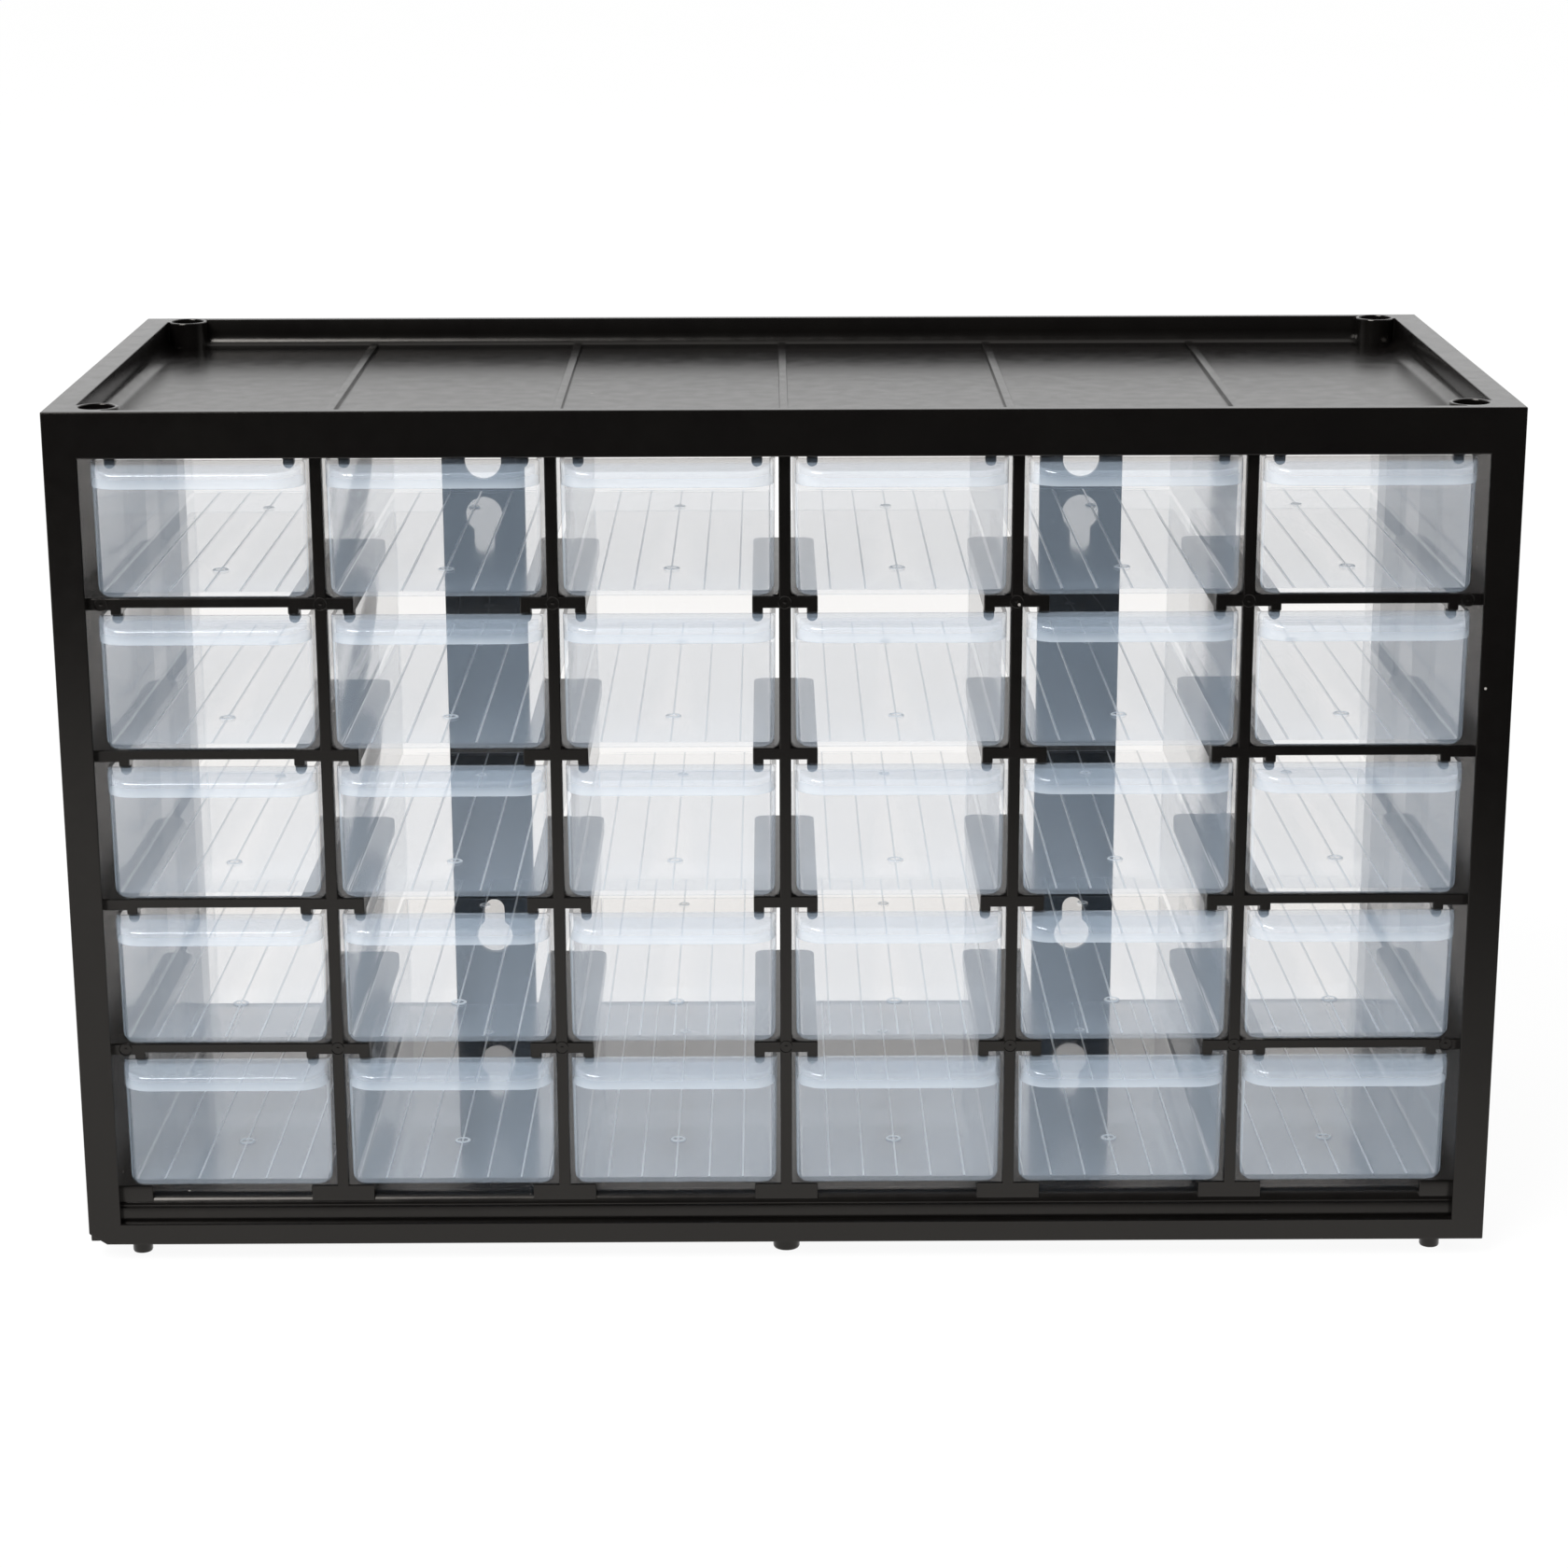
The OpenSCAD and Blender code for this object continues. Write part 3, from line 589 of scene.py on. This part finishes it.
def outer_shell():
    """The side skins, the rims round the tray and the tray's floor."""
    rim_x, front = RIM_X + DEEP_OVERLAP, FACE_BACK_Y - OVERLAP
    return [*both_sides(box((SKIN_X, front, BOTTOM_Z), (HALF_W, BACK_Y, TOP_Z)),
                        box((RIM_X, front, TRAY_UNDER_Z), (HALF_W - DEEP_OVERLAP, BACK_Y, TOP_Z))),
            box((-rim_x, TRAY_BACK_Y, TRAY_UNDER_Z), (rim_x, BACK_Y, TOP_Z)),
            box((-rim_x, front, TRAY_UNDER_Z), (rim_x, BACK_Y - DEEP_OVERLAP, TRAY_FLOOR_Z))]


def tray_coves():
    """Concave fillets at the foot of the tray's walls."""
    def cove(wall, way):
        arc = [(wall + way * COVE_R * (1 - math.cos(a)), TRAY_FLOOR_Z + COVE_R * (1 - math.sin(a)))
               for a in angles(90, 10)]
        under = TRAY_FLOOR_Z - DEEP_OVERLAP
        return [(wall - way * DEEP_OVERLAP, under), (wall - way * DEEP_OVERLAP, TRAY_FLOOR_Z + COVE_R), *arc,
                (wall + way * COVE_R, under)]
    return [prism("x", cove(FACE_BACK_Y, 1), -RIM_X, RIM_X), prism("x", cove(TRAY_BACK_Y, -1), -RIM_X, RIM_X),
            *both_sides(prism("y", cove(RIM_X, -1), FACE_BACK_Y - OVERLAP, TRAY_BACK_Y + OVERLAP))]


def tray_ribs():
    """Low ribs across the tray's floor, in line with the uprights."""
    first = -(COLUMNS / 2 - 1) * TRAY_RIB_PITCH
    rib = box((first - TRAY_RIB_W / 2, FACE_BACK_Y - OVERLAP, TRAY_FLOOR_Z - OVERLAP),
              (first + TRAY_RIB_W / 2, TRAY_BACK_Y + OVERLAP, TRAY_RIB_TOP_Z))
    return in_a_row(rib, COLUMNS - 1, TRAY_RIB_PITCH, 0, 0)


def stacking_sockets():
    """Tubes in the corners of the tray, squared off where they meet the rims, and the bores to cut in."""
    low, rim_x = TRAY_FLOOR_Z - OVERLAP, RIM_X + DEEP_OVERLAP
    dip = SOCKET_R - math.sqrt(SOCKET_R ** 2 - SOCKET_SQUARE ** 2)
    tubes, bores = [], []
    for y, wall, way in zip(SOCKET_YS, (FACE_BACK_Y, BACK_Y), (1, -1)):
        inner_y = y + way * SOCKET_SQUARE
        tubes += both_sides(
            turned(SOCKET_X, y, [(SOCKET_R - 2 * HAIR, low), (SOCKET_R - 2 * HAIR, TOP_Z)], SOCKET_SIDES),
            box((SOCKET_X, min(y, wall), low), (rim_x, max(y, wall), TOP_Z)),
            box((RIM_X - dip, min(y, inner_y), low), (rim_x, max(y, inner_y), TOP_Z)))
        bores += both_sides(turned(SOCKET_X, y, [(SOCKET_BORE_R, TRAY_FLOOR_Z + SOCKET_FLOOR),
                                                 (SOCKET_BORE_R, TOP_Z + BEYOND)], SOCKET_SIDES))
    tubes += both_sides(box((SOCKET_X - SOCKET_SQUARE, FACE_BACK_Y - OVERLAP, low),
                            (SOCKET_X + OVERLAP, FACE_BACK_Y + dip, TOP_Z)))
    return tubes, bores


def base_solids():
    """The base panel with its round nose, and the strips under its front and rear."""
    nose_y, nose_z = FACE_BACK_Y + NOSE_R, OPENING_BOTTOM_Z + NOSE_R
    skin_x, opening_x = SKIN_X + DEEP_OVERLAP, OPENING_X + OVERLAP
    return [box((-skin_x, nose_y, BASE_UNDER_Z), (skin_x, BACK_Y - DEEP_OVERLAP, BASE_TOP_Z)),
            prism("x", circle(nose_y, nose_z, NOSE_R), -opening_x, opening_x),
            box((-opening_x, FACE_BACK_Y - OVERLAP, BOTTOM_Z),
                (opening_x, FACE_BACK_Y + SKIN_T, BASE_UNDER_Z + DEEP_OVERLAP)),
            box((-skin_x, BACK_Y - SKIN_T, BOTTOM_Z), (skin_x, BACK_Y, BASE_TOP_Z))]


def make_case():
    """Joins the front, the sides, the tray, the inner walls and the base."""
    opening = box((-OPENING_X, FRONT_Y - BEYOND, OPENING_BOTTOM_Z),
                  (OPENING_X, FACE_BACK_Y + BEYOND, OPENING_TOP_Z))
    tubes, bores = stacking_sockets()
    walls = both_sides(box((OPENING_X, FACE_BACK_Y - OVERLAP, BASE_TOP_Z - DEEP_OVERLAP),
                           (INNER_WALL_X, BACK_Y, TRAY_UNDER_Z + DEEP_OVERLAP)))
    case = joined("case", front_face(), ("UNION", outer_shell()), ("DIFFERENCE", [opening]),
                  ("UNION", [*tray_coves(), tray_ribs(), *tubes, *walls, *base_solids()]),
                  ("DIFFERENCE", bores))
    finish_piece(soften(case, EDGE_R), BLACK, "cabinet", "frame_black", "top_panel", "tray_ribs",
                 "top_front_strip", "tray_side_rims", "tray_back_rim", "stacking_sockets", "side_panel_left",
                 "side_panel_right", "front_stiles", "inner_walls", "base_panel", "base_front_strip",
                 "base_back_strip")


def make_wall_ribs():
    """Upright ribs on the inner walls, with the rough surface of an eroded mould."""
    ribs = both_sides(*(box((WALL_RIBS_X, FRONT_Y + start, BASE_TOP_Z - OVERLAP),
                            (OPENING_X + OVERLAP, FRONT_Y + start + WALL_RIB_W, TRAY_UNDER_Z + OVERLAP))
                        for start in WALL_RIB_STARTS))
    ribs = joined("wall_ribs_moulding", ribs[0], ("UNION", ribs[1:]))
    finish_piece(soften(ribs, EDGE_R), BLACK_MATT, "cabinet", "frame_black", "wall_ribs")


def foot(x, y, radius):
    """A peg or foot with a rounded tip."""
    return turned(x, y, [(radius - FOOT_TIP_R, 0), (radius - 0.3 * FOOT_TIP_R, 0.3 * FOOT_TIP_R),
                         (radius, FOOT_TIP_R), (radius, BASE_UNDER_Z + OVERLAP)])


def make_feet():
    """Four stacking pegs on square bosses, and two middle feet."""
    boss_r = PEG_R + PEG_BOSS_WALL
    solids = [foot(0, y, FOOT_R) for y in FOOT_YS]
    for y in SOCKET_YS:
        solids += both_sides(foot(SOCKET_X, y, PEG_R), box(
            (SOCKET_X - boss_r, max(y - boss_r, FACE_BACK_Y + SKIN_T - OVERLAP), BOTTOM_Z),
            (SOCKET_X + boss_r, min(y + boss_r, TRAY_BACK_Y + OVERLAP), BASE_UNDER_Z + OVERLAP)))
    feet = joined("feet", solids[0], ("UNION", solids[1:]))
    finish_piece(feet, BLACK, "cabinet", "frame_black", "stacking_pegs", "middle_feet")


def make_back_straps():
    """Upright straps with a keyhole near each end, for wall screws."""
    middle = (STRAP_LOW.x + STRAP_HIGH.x) / 2
    front, back = BACK_Y - BEYOND, BACK_Y + BEYOND
    keyholes = []
    for z in (BOTTOM_Z + height for height in KEYHOLE_ZS):
        top = z + KEYHOLE_RISE
        keyholes += [prism("y", circle(middle, z, KEYHOLE_R), front, back),
                     prism("y", circle(middle, top, KEYHOLE_SLOT_R), front, back),
                     box((middle - KEYHOLE_SLOT_R, front, z), (middle + KEYHOLE_SLOT_R, back, top))]
    strap = box((STRAP_LOW.x, STRAP_LOW.y, STRAP_LOW.z - OVERLAP),
                (STRAP_HIGH.x, STRAP_HIGH.y, STRAP_HIGH.z + OVERLAP))
    for name, solid, cuts in (("back_strap_right", strap, keyholes),
                              ("back_strap_left", mirrored(strap), [mirrored(k) for k in keyholes])):
        piece = soften(joined(name + "_moulding", solid, ("DIFFERENCE", cuts)), EDGE_R)
        finish_piece(piece, BLACK, "cabinet", "frame_black", name)


# ---- The grid: uprights, runners, guide lips and stop nubs ----

def across(solid):
    """Copies of a solid from the first upright on the left to the last."""
    return in_a_row(solid, COLUMNS - 1, COLUMN_PITCH, 0, 0)


def upwards(solid, count):
    """Copies of a solid, each a row above the last."""
    return in_a_row(solid, count, 0, 0, ROW_PITCH)


def shelf(low, high, z, thickness, *lips):
    """A runner from one x to another, with its top at a height and its free rear corners round, and its
    lips."""
    back = GRID_Y + RUNNER_L
    low_r, high_r = (0 if abs(x) > OPENING_X else RUNNER_CORNER_R for x in (low, high))
    outline = rounded([(low, GRID_Y, 0), (high, GRID_Y, 0), (high, back, high_r), (low, back, low_r)], 6)
    return [prism("z", outline, z - thickness, z, SLOPE),
            *(box((x, GRID_Y, z - RUNNER_T - LIP_H),
                  (x + LIP_W, back - RUNNER_CORNER_R, z - RUNNER_T / 2), SLOPE) for x in lips)]


def gusset(x, z):
    """Small fillets in the corners between an upright and the top of a runner."""
    fillet = [(UPRIGHT_W / 2 + GUSSET_R * (1 - math.sin(a)), GUSSET_R * (1 - math.cos(a)))
              for a in angles(90, 15)]
    end = (UPRIGHT_W / 2 + GUSSET_R, -OVERLAP)
    outline = [(x + u, z + v) for u, v in (end, *fillet)] + [(x - u, z + v) for u, v in (*fillet[::-1], end)]
    return prism("y", outline, GRID_Y + OVERLAP, GRID_Y + UPRIGHT_W)


def stop_nub(x, z):
    """A nub under the front of a guide lip, half-round underneath, for a runner with its top at a height."""
    centre_z = z - RUNNER_T - LIP_H - NUB_H + NUB_R
    under = [(x - NUB_R * math.cos(a), centre_z - NUB_R * math.sin(a)) for a in angles(180, 12)]
    return prism("y", [*under, (x + NUB_R, z - RUNNER_T), (x - NUB_R, z - RUNNER_T)],
                 GRID_Y + NUB_Y - NUB_R, GRID_Y + NUB_Y + NUB_R, SLOPE)


def make_grid():
    """Joins the uprights, the runners with their lips and nubs, and the tie bars over the outer columns."""
    z = runner_z(ROWS - 1)
    left, right = FIRST_UPRIGHT_X - RUNNER_REACH, FIRST_UPRIGHT_X + RUNNER_REACH
    side, wall = OPENING_X - RUNNER_REACH, OPENING_X + OVERLAP
    lips = (left, right - LIP_W)
    upright = box((FIRST_UPRIGHT_X - UPRIGHT_W / 2, GRID_Y, BASE_TOP_Z - DEEP_OVERLAP),
                  (FIRST_UPRIGHT_X + UPRIGHT_W / 2, GRID_Y + UPRIGHT_W, TRAY_UNDER_Z + DEEP_OVERLAP))
    tie_bar = box((-left - OVERLAP, GRID_Y, z - TIE_BAR), (side + OVERLAP, GRID_Y + TIE_BAR, z))
    rows = [upwards(across(s), ROWS - 1) for s in (*shelf(left, right, z, RUNNER_T, *lips),
                                                   gusset(FIRST_UPRIGHT_X, z))]
    nub = stop_nub(left + LIP_W / 2, z)
    rows += [upwards(across(s), ROWS) for s in (nub, moved(nub, 2 * RUNNER_REACH - LIP_W))]
    rows += both_sides(*(upwards(s, ROWS - 1) for s in (*shelf(side, wall, z, RUNNER_T, side), tie_bar)),
                       upwards(moved(nub, side - FIRST_UPRIGHT_X + RUNNER_REACH), ROWS))
    to_base = FIRST_RUNNER_Z - BASE_TOP_Z + DEEP_OVERLAP
    rows += [across(s) for s in shelf(left, right, FIRST_RUNNER_Z, to_base)]
    rows += both_sides(*shelf(side, wall, FIRST_RUNNER_Z, to_base))
    hung = [box((x, GRID_Y, runner_z(0) - RUNNER_T - LIP_H),
                (x + LIP_W, GRID_Y + RUNNER_L - RUNNER_CORNER_R, TRAY_FLOOR_Z - LIP_COVER), SLOPE)
            for x in (*lips, side)]
    rows += [across(s) for s in hung[:2]] + both_sides(hung[2])
    grid = joined("grid", across(upright), ("UNION", rows))
    soften(grid, EDGE_R)
    finish_piece(grid, BLACK, "cabinet", "frame_black", "uprights", "top_guide_lips", "guide_lips",
                 "stop_nubs", "tie_bars", "corner_gussets",
                 *(f"runners_row_{row}" for row in range(1, ROWS + 1)))


def gate_ring(x, z):
    """The mark of a moulding gate: a fine raised ring with a dot in it, on the front of a crossing."""
    vertices, faces = turned(x, z, GATE_RING, 24)
    return [Vector((v.x, GRID_Y - v.z, v.y)) for v in vertices], faces


def make_gate_rings():
    """Gate marks on the crossings and the side brackets, at the highest runners and the lowest free ones."""
    z, up = runner_z(ROWS - 1) - RUNNER_T / 2, (ROWS - 2) * ROW_PITCH
    rings = [in_a_row(across(gate_ring(FIRST_UPRIGHT_X, z)), 2, 0, 0, up),
             *both_sides(in_a_row(gate_ring(OPENING_X - GATE_RING_INSET, z), 2, 0, 0, up))]
    finish_piece(as_object("gate_rings_moulding", *rings), BLACK, "cabinet", "frame_black")


# ---- The drawers ----

def trough(inset, top):
    """The outside of a drawer, or with an inset the space in it, as a solid up to a height."""
    side_r = SIDE_EDGE_R - 2 * inset
    end_r, plan_r = max(END_EDGE_R - inset, INNER_END_EDGE_R), max(PLAN_R - inset, INNER_PLAN_R)

    def pull(r, level):
        return r - math.sqrt(r * r - (r - level) ** 2) if level < r else 0
    rings = []
    for level in [*(side_r * (1 - math.cos(a)) for a in angles(90, 15)), top - inset]:
        z = inset + level
        half = DRAWER_TOP_W / 2 - DRAWER_TAPER / 2 * (1 - z / DRAWER_H) - inset - pull(side_r, level)
        low, high = inset + pull(end_r, level), DRAWER_L - inset - pull(end_r, level)
        corner_points = ((-half, low), (half, low), (half, high), (-half, high))
        outline = rounded([(x, y, plan_r) for x, y in corner_points], 4)
        rings.append([(x, y, z) for x, y in outline])
    return lofted(rings)


def grip_solid(inset, bottom, fold_r, back):
    """The grip's sloping top with its rounded fold, and the skirt below it down to a height."""
    def top(y):
        return DRAWER_H - inset - GRIP_DROP * max(-y - LEDGE, 0) / (GRIP_REACH - LEDGE)
    rings = []
    for step in range(-1, FOLD_STEPS + 1):
        turn = math.radians(90 * max(step, 0) / FOLD_STEPS)
        pull = inset + fold_r * (1 - math.cos(turn))
        half, r = DRAWER_TOP_W / 2 - GRIP_INSET - pull, GRIP_CORNER_R - pull
        front = -GRIP_REACH + pull
        side_y = min(-LEDGE, front + r + HAIR)
        left = [(-half + r - r * math.cos(a), front + r - r * math.sin(a)) for a in angles(90, 9)]
        outline = [(-half, back), (-half, side_y), *left, *((-x, y) for x, y in left[::-1]),
                   (half, side_y), (half, back)]
        rings.append([(x, y, bottom if step < 0 else top(y) - fold_r * (1 - math.sin(turn)))
                      for x, y in outline])
    return lofted(rings)


def gate_mark(y, radius):
    """A shallow dome with a dimple, where the plastic was let into the mould."""
    return turned(0, y, [(radius, DRAWER_WALL - OVERLAP), (radius, FLOOR_RIB_TOP),
                         *((radius - inset, FLOOR_RIB_TOP + rise) for inset, rise in GATE_DOME)], 24)


def added_milk_and_painted_highlight(place):
    """How much more than a wall a place on a drawer scatters: most in the gate marks, the tops of the ribs
    and the grip's skirt, less in the rim, the front's edges and the grip's top, least in the front's face.
    The rim's and the front edges' share is a painted highlight along those edges."""
    if place.y < -NEAR:
        return SKIRT_MILK if place.z < DRAWER_H - GRIP_DROP - FOLD_R else GRIP_MILK
    # Painted highlight along the rim's top edges
    if place.z > DRAWER_H - 2 * NEAR:
        return RIM_PAINTED_HIGHLIGHT_MILK
    if abs(place.x) < GATE_REACH and FLOOR_RIB_TOP + NEAR < place.z < FLOOR_RIB_TOP + 1:
        return GATE_MILK
    if abs(place.z - FLOOR_RIB_TOP) < NEAR:
        return RIB_MILK
    if place.y >= FRONT_DEPTH:
        return 0.0
    # Painted highlight along the front's outer edges
    at_edge = NEAR < place.z < FRONT_EDGE_Z or abs(place.x) > (DRAWER_TOP_W - DRAWER_TAPER - PLAN_R) / 2
    return FRONT_EDGE_PAINTED_HIGHLIGHT_MILK if at_edge and place.y < FRONT_EDGE_DEPTH else FRONT_MILK


def drawer_moulding():
    """One drawer in its own place: the front of its floor at the origin, its length along +Y."""
    first_x = -(FLOOR_RIBS - 1) / 2 * FLOOR_RIB_PITCH
    rib = box((first_x - FLOOR_RIB_W / 2, OVERLAP, OVERLAP),
              (first_x + FLOOR_RIB_W / 2, DRAWER_L - OVERLAP, FLOOR_RIB_TOP))
    ribs = in_a_row(rib, FLOOR_RIBS, FLOOR_RIB_PITCH, 0, 0)
    piece = joined("drawer", trough(0, DRAWER_H),
                   ("UNION", [grip_solid(0, DRAWER_H - GRIP_H, FOLD_R, DRAWER_WALL / 2)]),
                   ("DIFFERENCE", [grip_solid(DRAWER_WALL, DRAWER_H - 2 * GRIP_H, INNER_FOLD_R, 0),
                                   trough(DRAWER_WALL, DRAWER_H + BEYOND)]),
                   ("UNION", [ribs, *(gate_mark(y, radius) for y, radius in GATE_MARKS)]))

    def on_rim_or_skirt(edge):
        return all(v.co.z > DRAWER_H - 2 * NEAR or (
            v.co.y < 2 * NEAR and abs(v.co.z - DRAWER_H + GRIP_H) < 2 * NEAR) for v in edge.verts)
    soften(piece, RIM_EDGE_R, on_rim_or_skirt)
    # Scatter per point, which in the rim and the front's edges is a painted highlight
    milk_and_painted_highlight = piece.data.attributes.new("milk_and_painted_highlight", "FLOAT", "POINT")
    milk_and_painted_highlight.data.foreach_set("value", [added_milk_and_painted_highlight(v.co) for v in piece.data.vertices])
    return piece


def make_drawers():
    """Thirty copies of the drawer, each turned to the slope on its own runners."""
    moulding = drawer_moulding()
    for row in range(1, ROWS + 1):
        for column in range(1, COLUMNS + 1):
            node = f"drawer_r{row}c{column}"
            piece = bpy.data.objects.new(node + "_moulding", moulding.data.copy())
            scene.collection.objects.link(piece)
            x = (column - (COLUMNS + 1) / 2) * COLUMN_PITCH
            piece.data.transform(Matrix.Translation((x, GRID_Y, runner_z(row))) @ Matrix.Rotation(
                -SLOPE_ANGLE, 4, "X") @ Matrix.Translation((0, 0, DRAWER_GAP)))
            finish_piece(piece, CLEAR, node, "drawer_clear", node)
    bpy.data.objects.remove(moulding)


# ---- Stage ----

def make_table():
    """The table that the cabinet stands on."""
    outline = ((-TABLE_HALF_W, TABLE_FRONT_Y), (TABLE_HALF_W, TABLE_FRONT_Y), (TABLE_HALF_W, TABLE_BACK_Y),
               (-TABLE_HALF_W, TABLE_BACK_Y))
    floor = as_object("floor", ([Vector((x, y, 0)) for x, y in outline], [[0, 1, 2, 3]]))
    floor.data.transform(Matrix.Scale(MM, 4))
    floor.data.materials.append(pale_floor())


def make_studio():
    """A white studio. In reflections only, its front is painted dark, a painted reflection in the cabinet's
    sheen.
    """
    world = bpy.data.worlds.new("studio")
    scene.world = world
    world.use_nodes = True
    tree = world.node_tree
    tree.nodes.clear()
    path = add(tree, "ShaderNodeLightPath").outputs
    direction = add(tree, "ShaderNodeTexCoord").outputs["Generated"]
    way = add(tree, "ShaderNodeSeparateXYZ", {0: direction}).outputs
    # Painted reflection: glossy rays see the studio fade to painted dark towards the front
    painted_reflection_strength = add(tree, "ShaderNodeMapRange", {"Value": way["Y"], "From Min": -0.5, "From Max": 0.1,
                                             "To Min": 0.05, "To Max": 1.0}).outputs["Result"]
    mirrored_light = add(tree, "ShaderNodeMix", {0: path["Is Glossy Ray"], 2: 1.0, 3: painted_reflection_strength}).outputs[0]
    seen = add(tree, "ShaderNodeMath", {0: path["Is Camera Ray"], 1: path["Is Transmission Ray"]},
               operation="MAXIMUM").outputs[0]
    strength = add(tree, "ShaderNodeMix", {0: seen, 2: mirrored_light, 3: 1.0}).outputs[0]
    light = add(tree, "ShaderNodeBackground", {"Color": (1, 1, 1, 1), "Strength": strength})
    add(tree, "ShaderNodeOutputWorld", {"Surface": light.outputs[0]})
    scene.view_settings.view_transform = "Standard"


def softbox(name, place, aim, size, power):
    """A large rectangular lamp that faces a point, in metres and watts."""
    lamp = bpy.data.objects.new(name, bpy.data.lights.new(name, "AREA"))
    lamp.data.shape, lamp.data.size, lamp.data.size_y = "RECTANGLE", size[0], size[1]
    lamp.data.energy = power
    lamp.location = place
    lamp.rotation_euler = (Vector(aim) - Vector(place)).to_track_quat("-Z", "Y").to_euler()
    scene.collection.objects.link(lamp)


make_case()
make_wall_ribs()
make_feet()
make_back_straps()
make_grid()
make_gate_rings()
make_drawers()
make_table()
make_studio()
softbox("soft_key", place=(-1.2, -1.6, 2.2), aim=(0, 0, 0.1), size=(1.4, 1.4), power=85)
softbox("soft_back", place=(0, 2.4, 1.9), aim=(0, 0, 0.2), size=(3.0, 1.2), power=8)
place_camera()
scene.cycles.max_bounces = scene.cycles.transmission_bounces = scene.cycles.transparent_max_bounces = BOUNCES
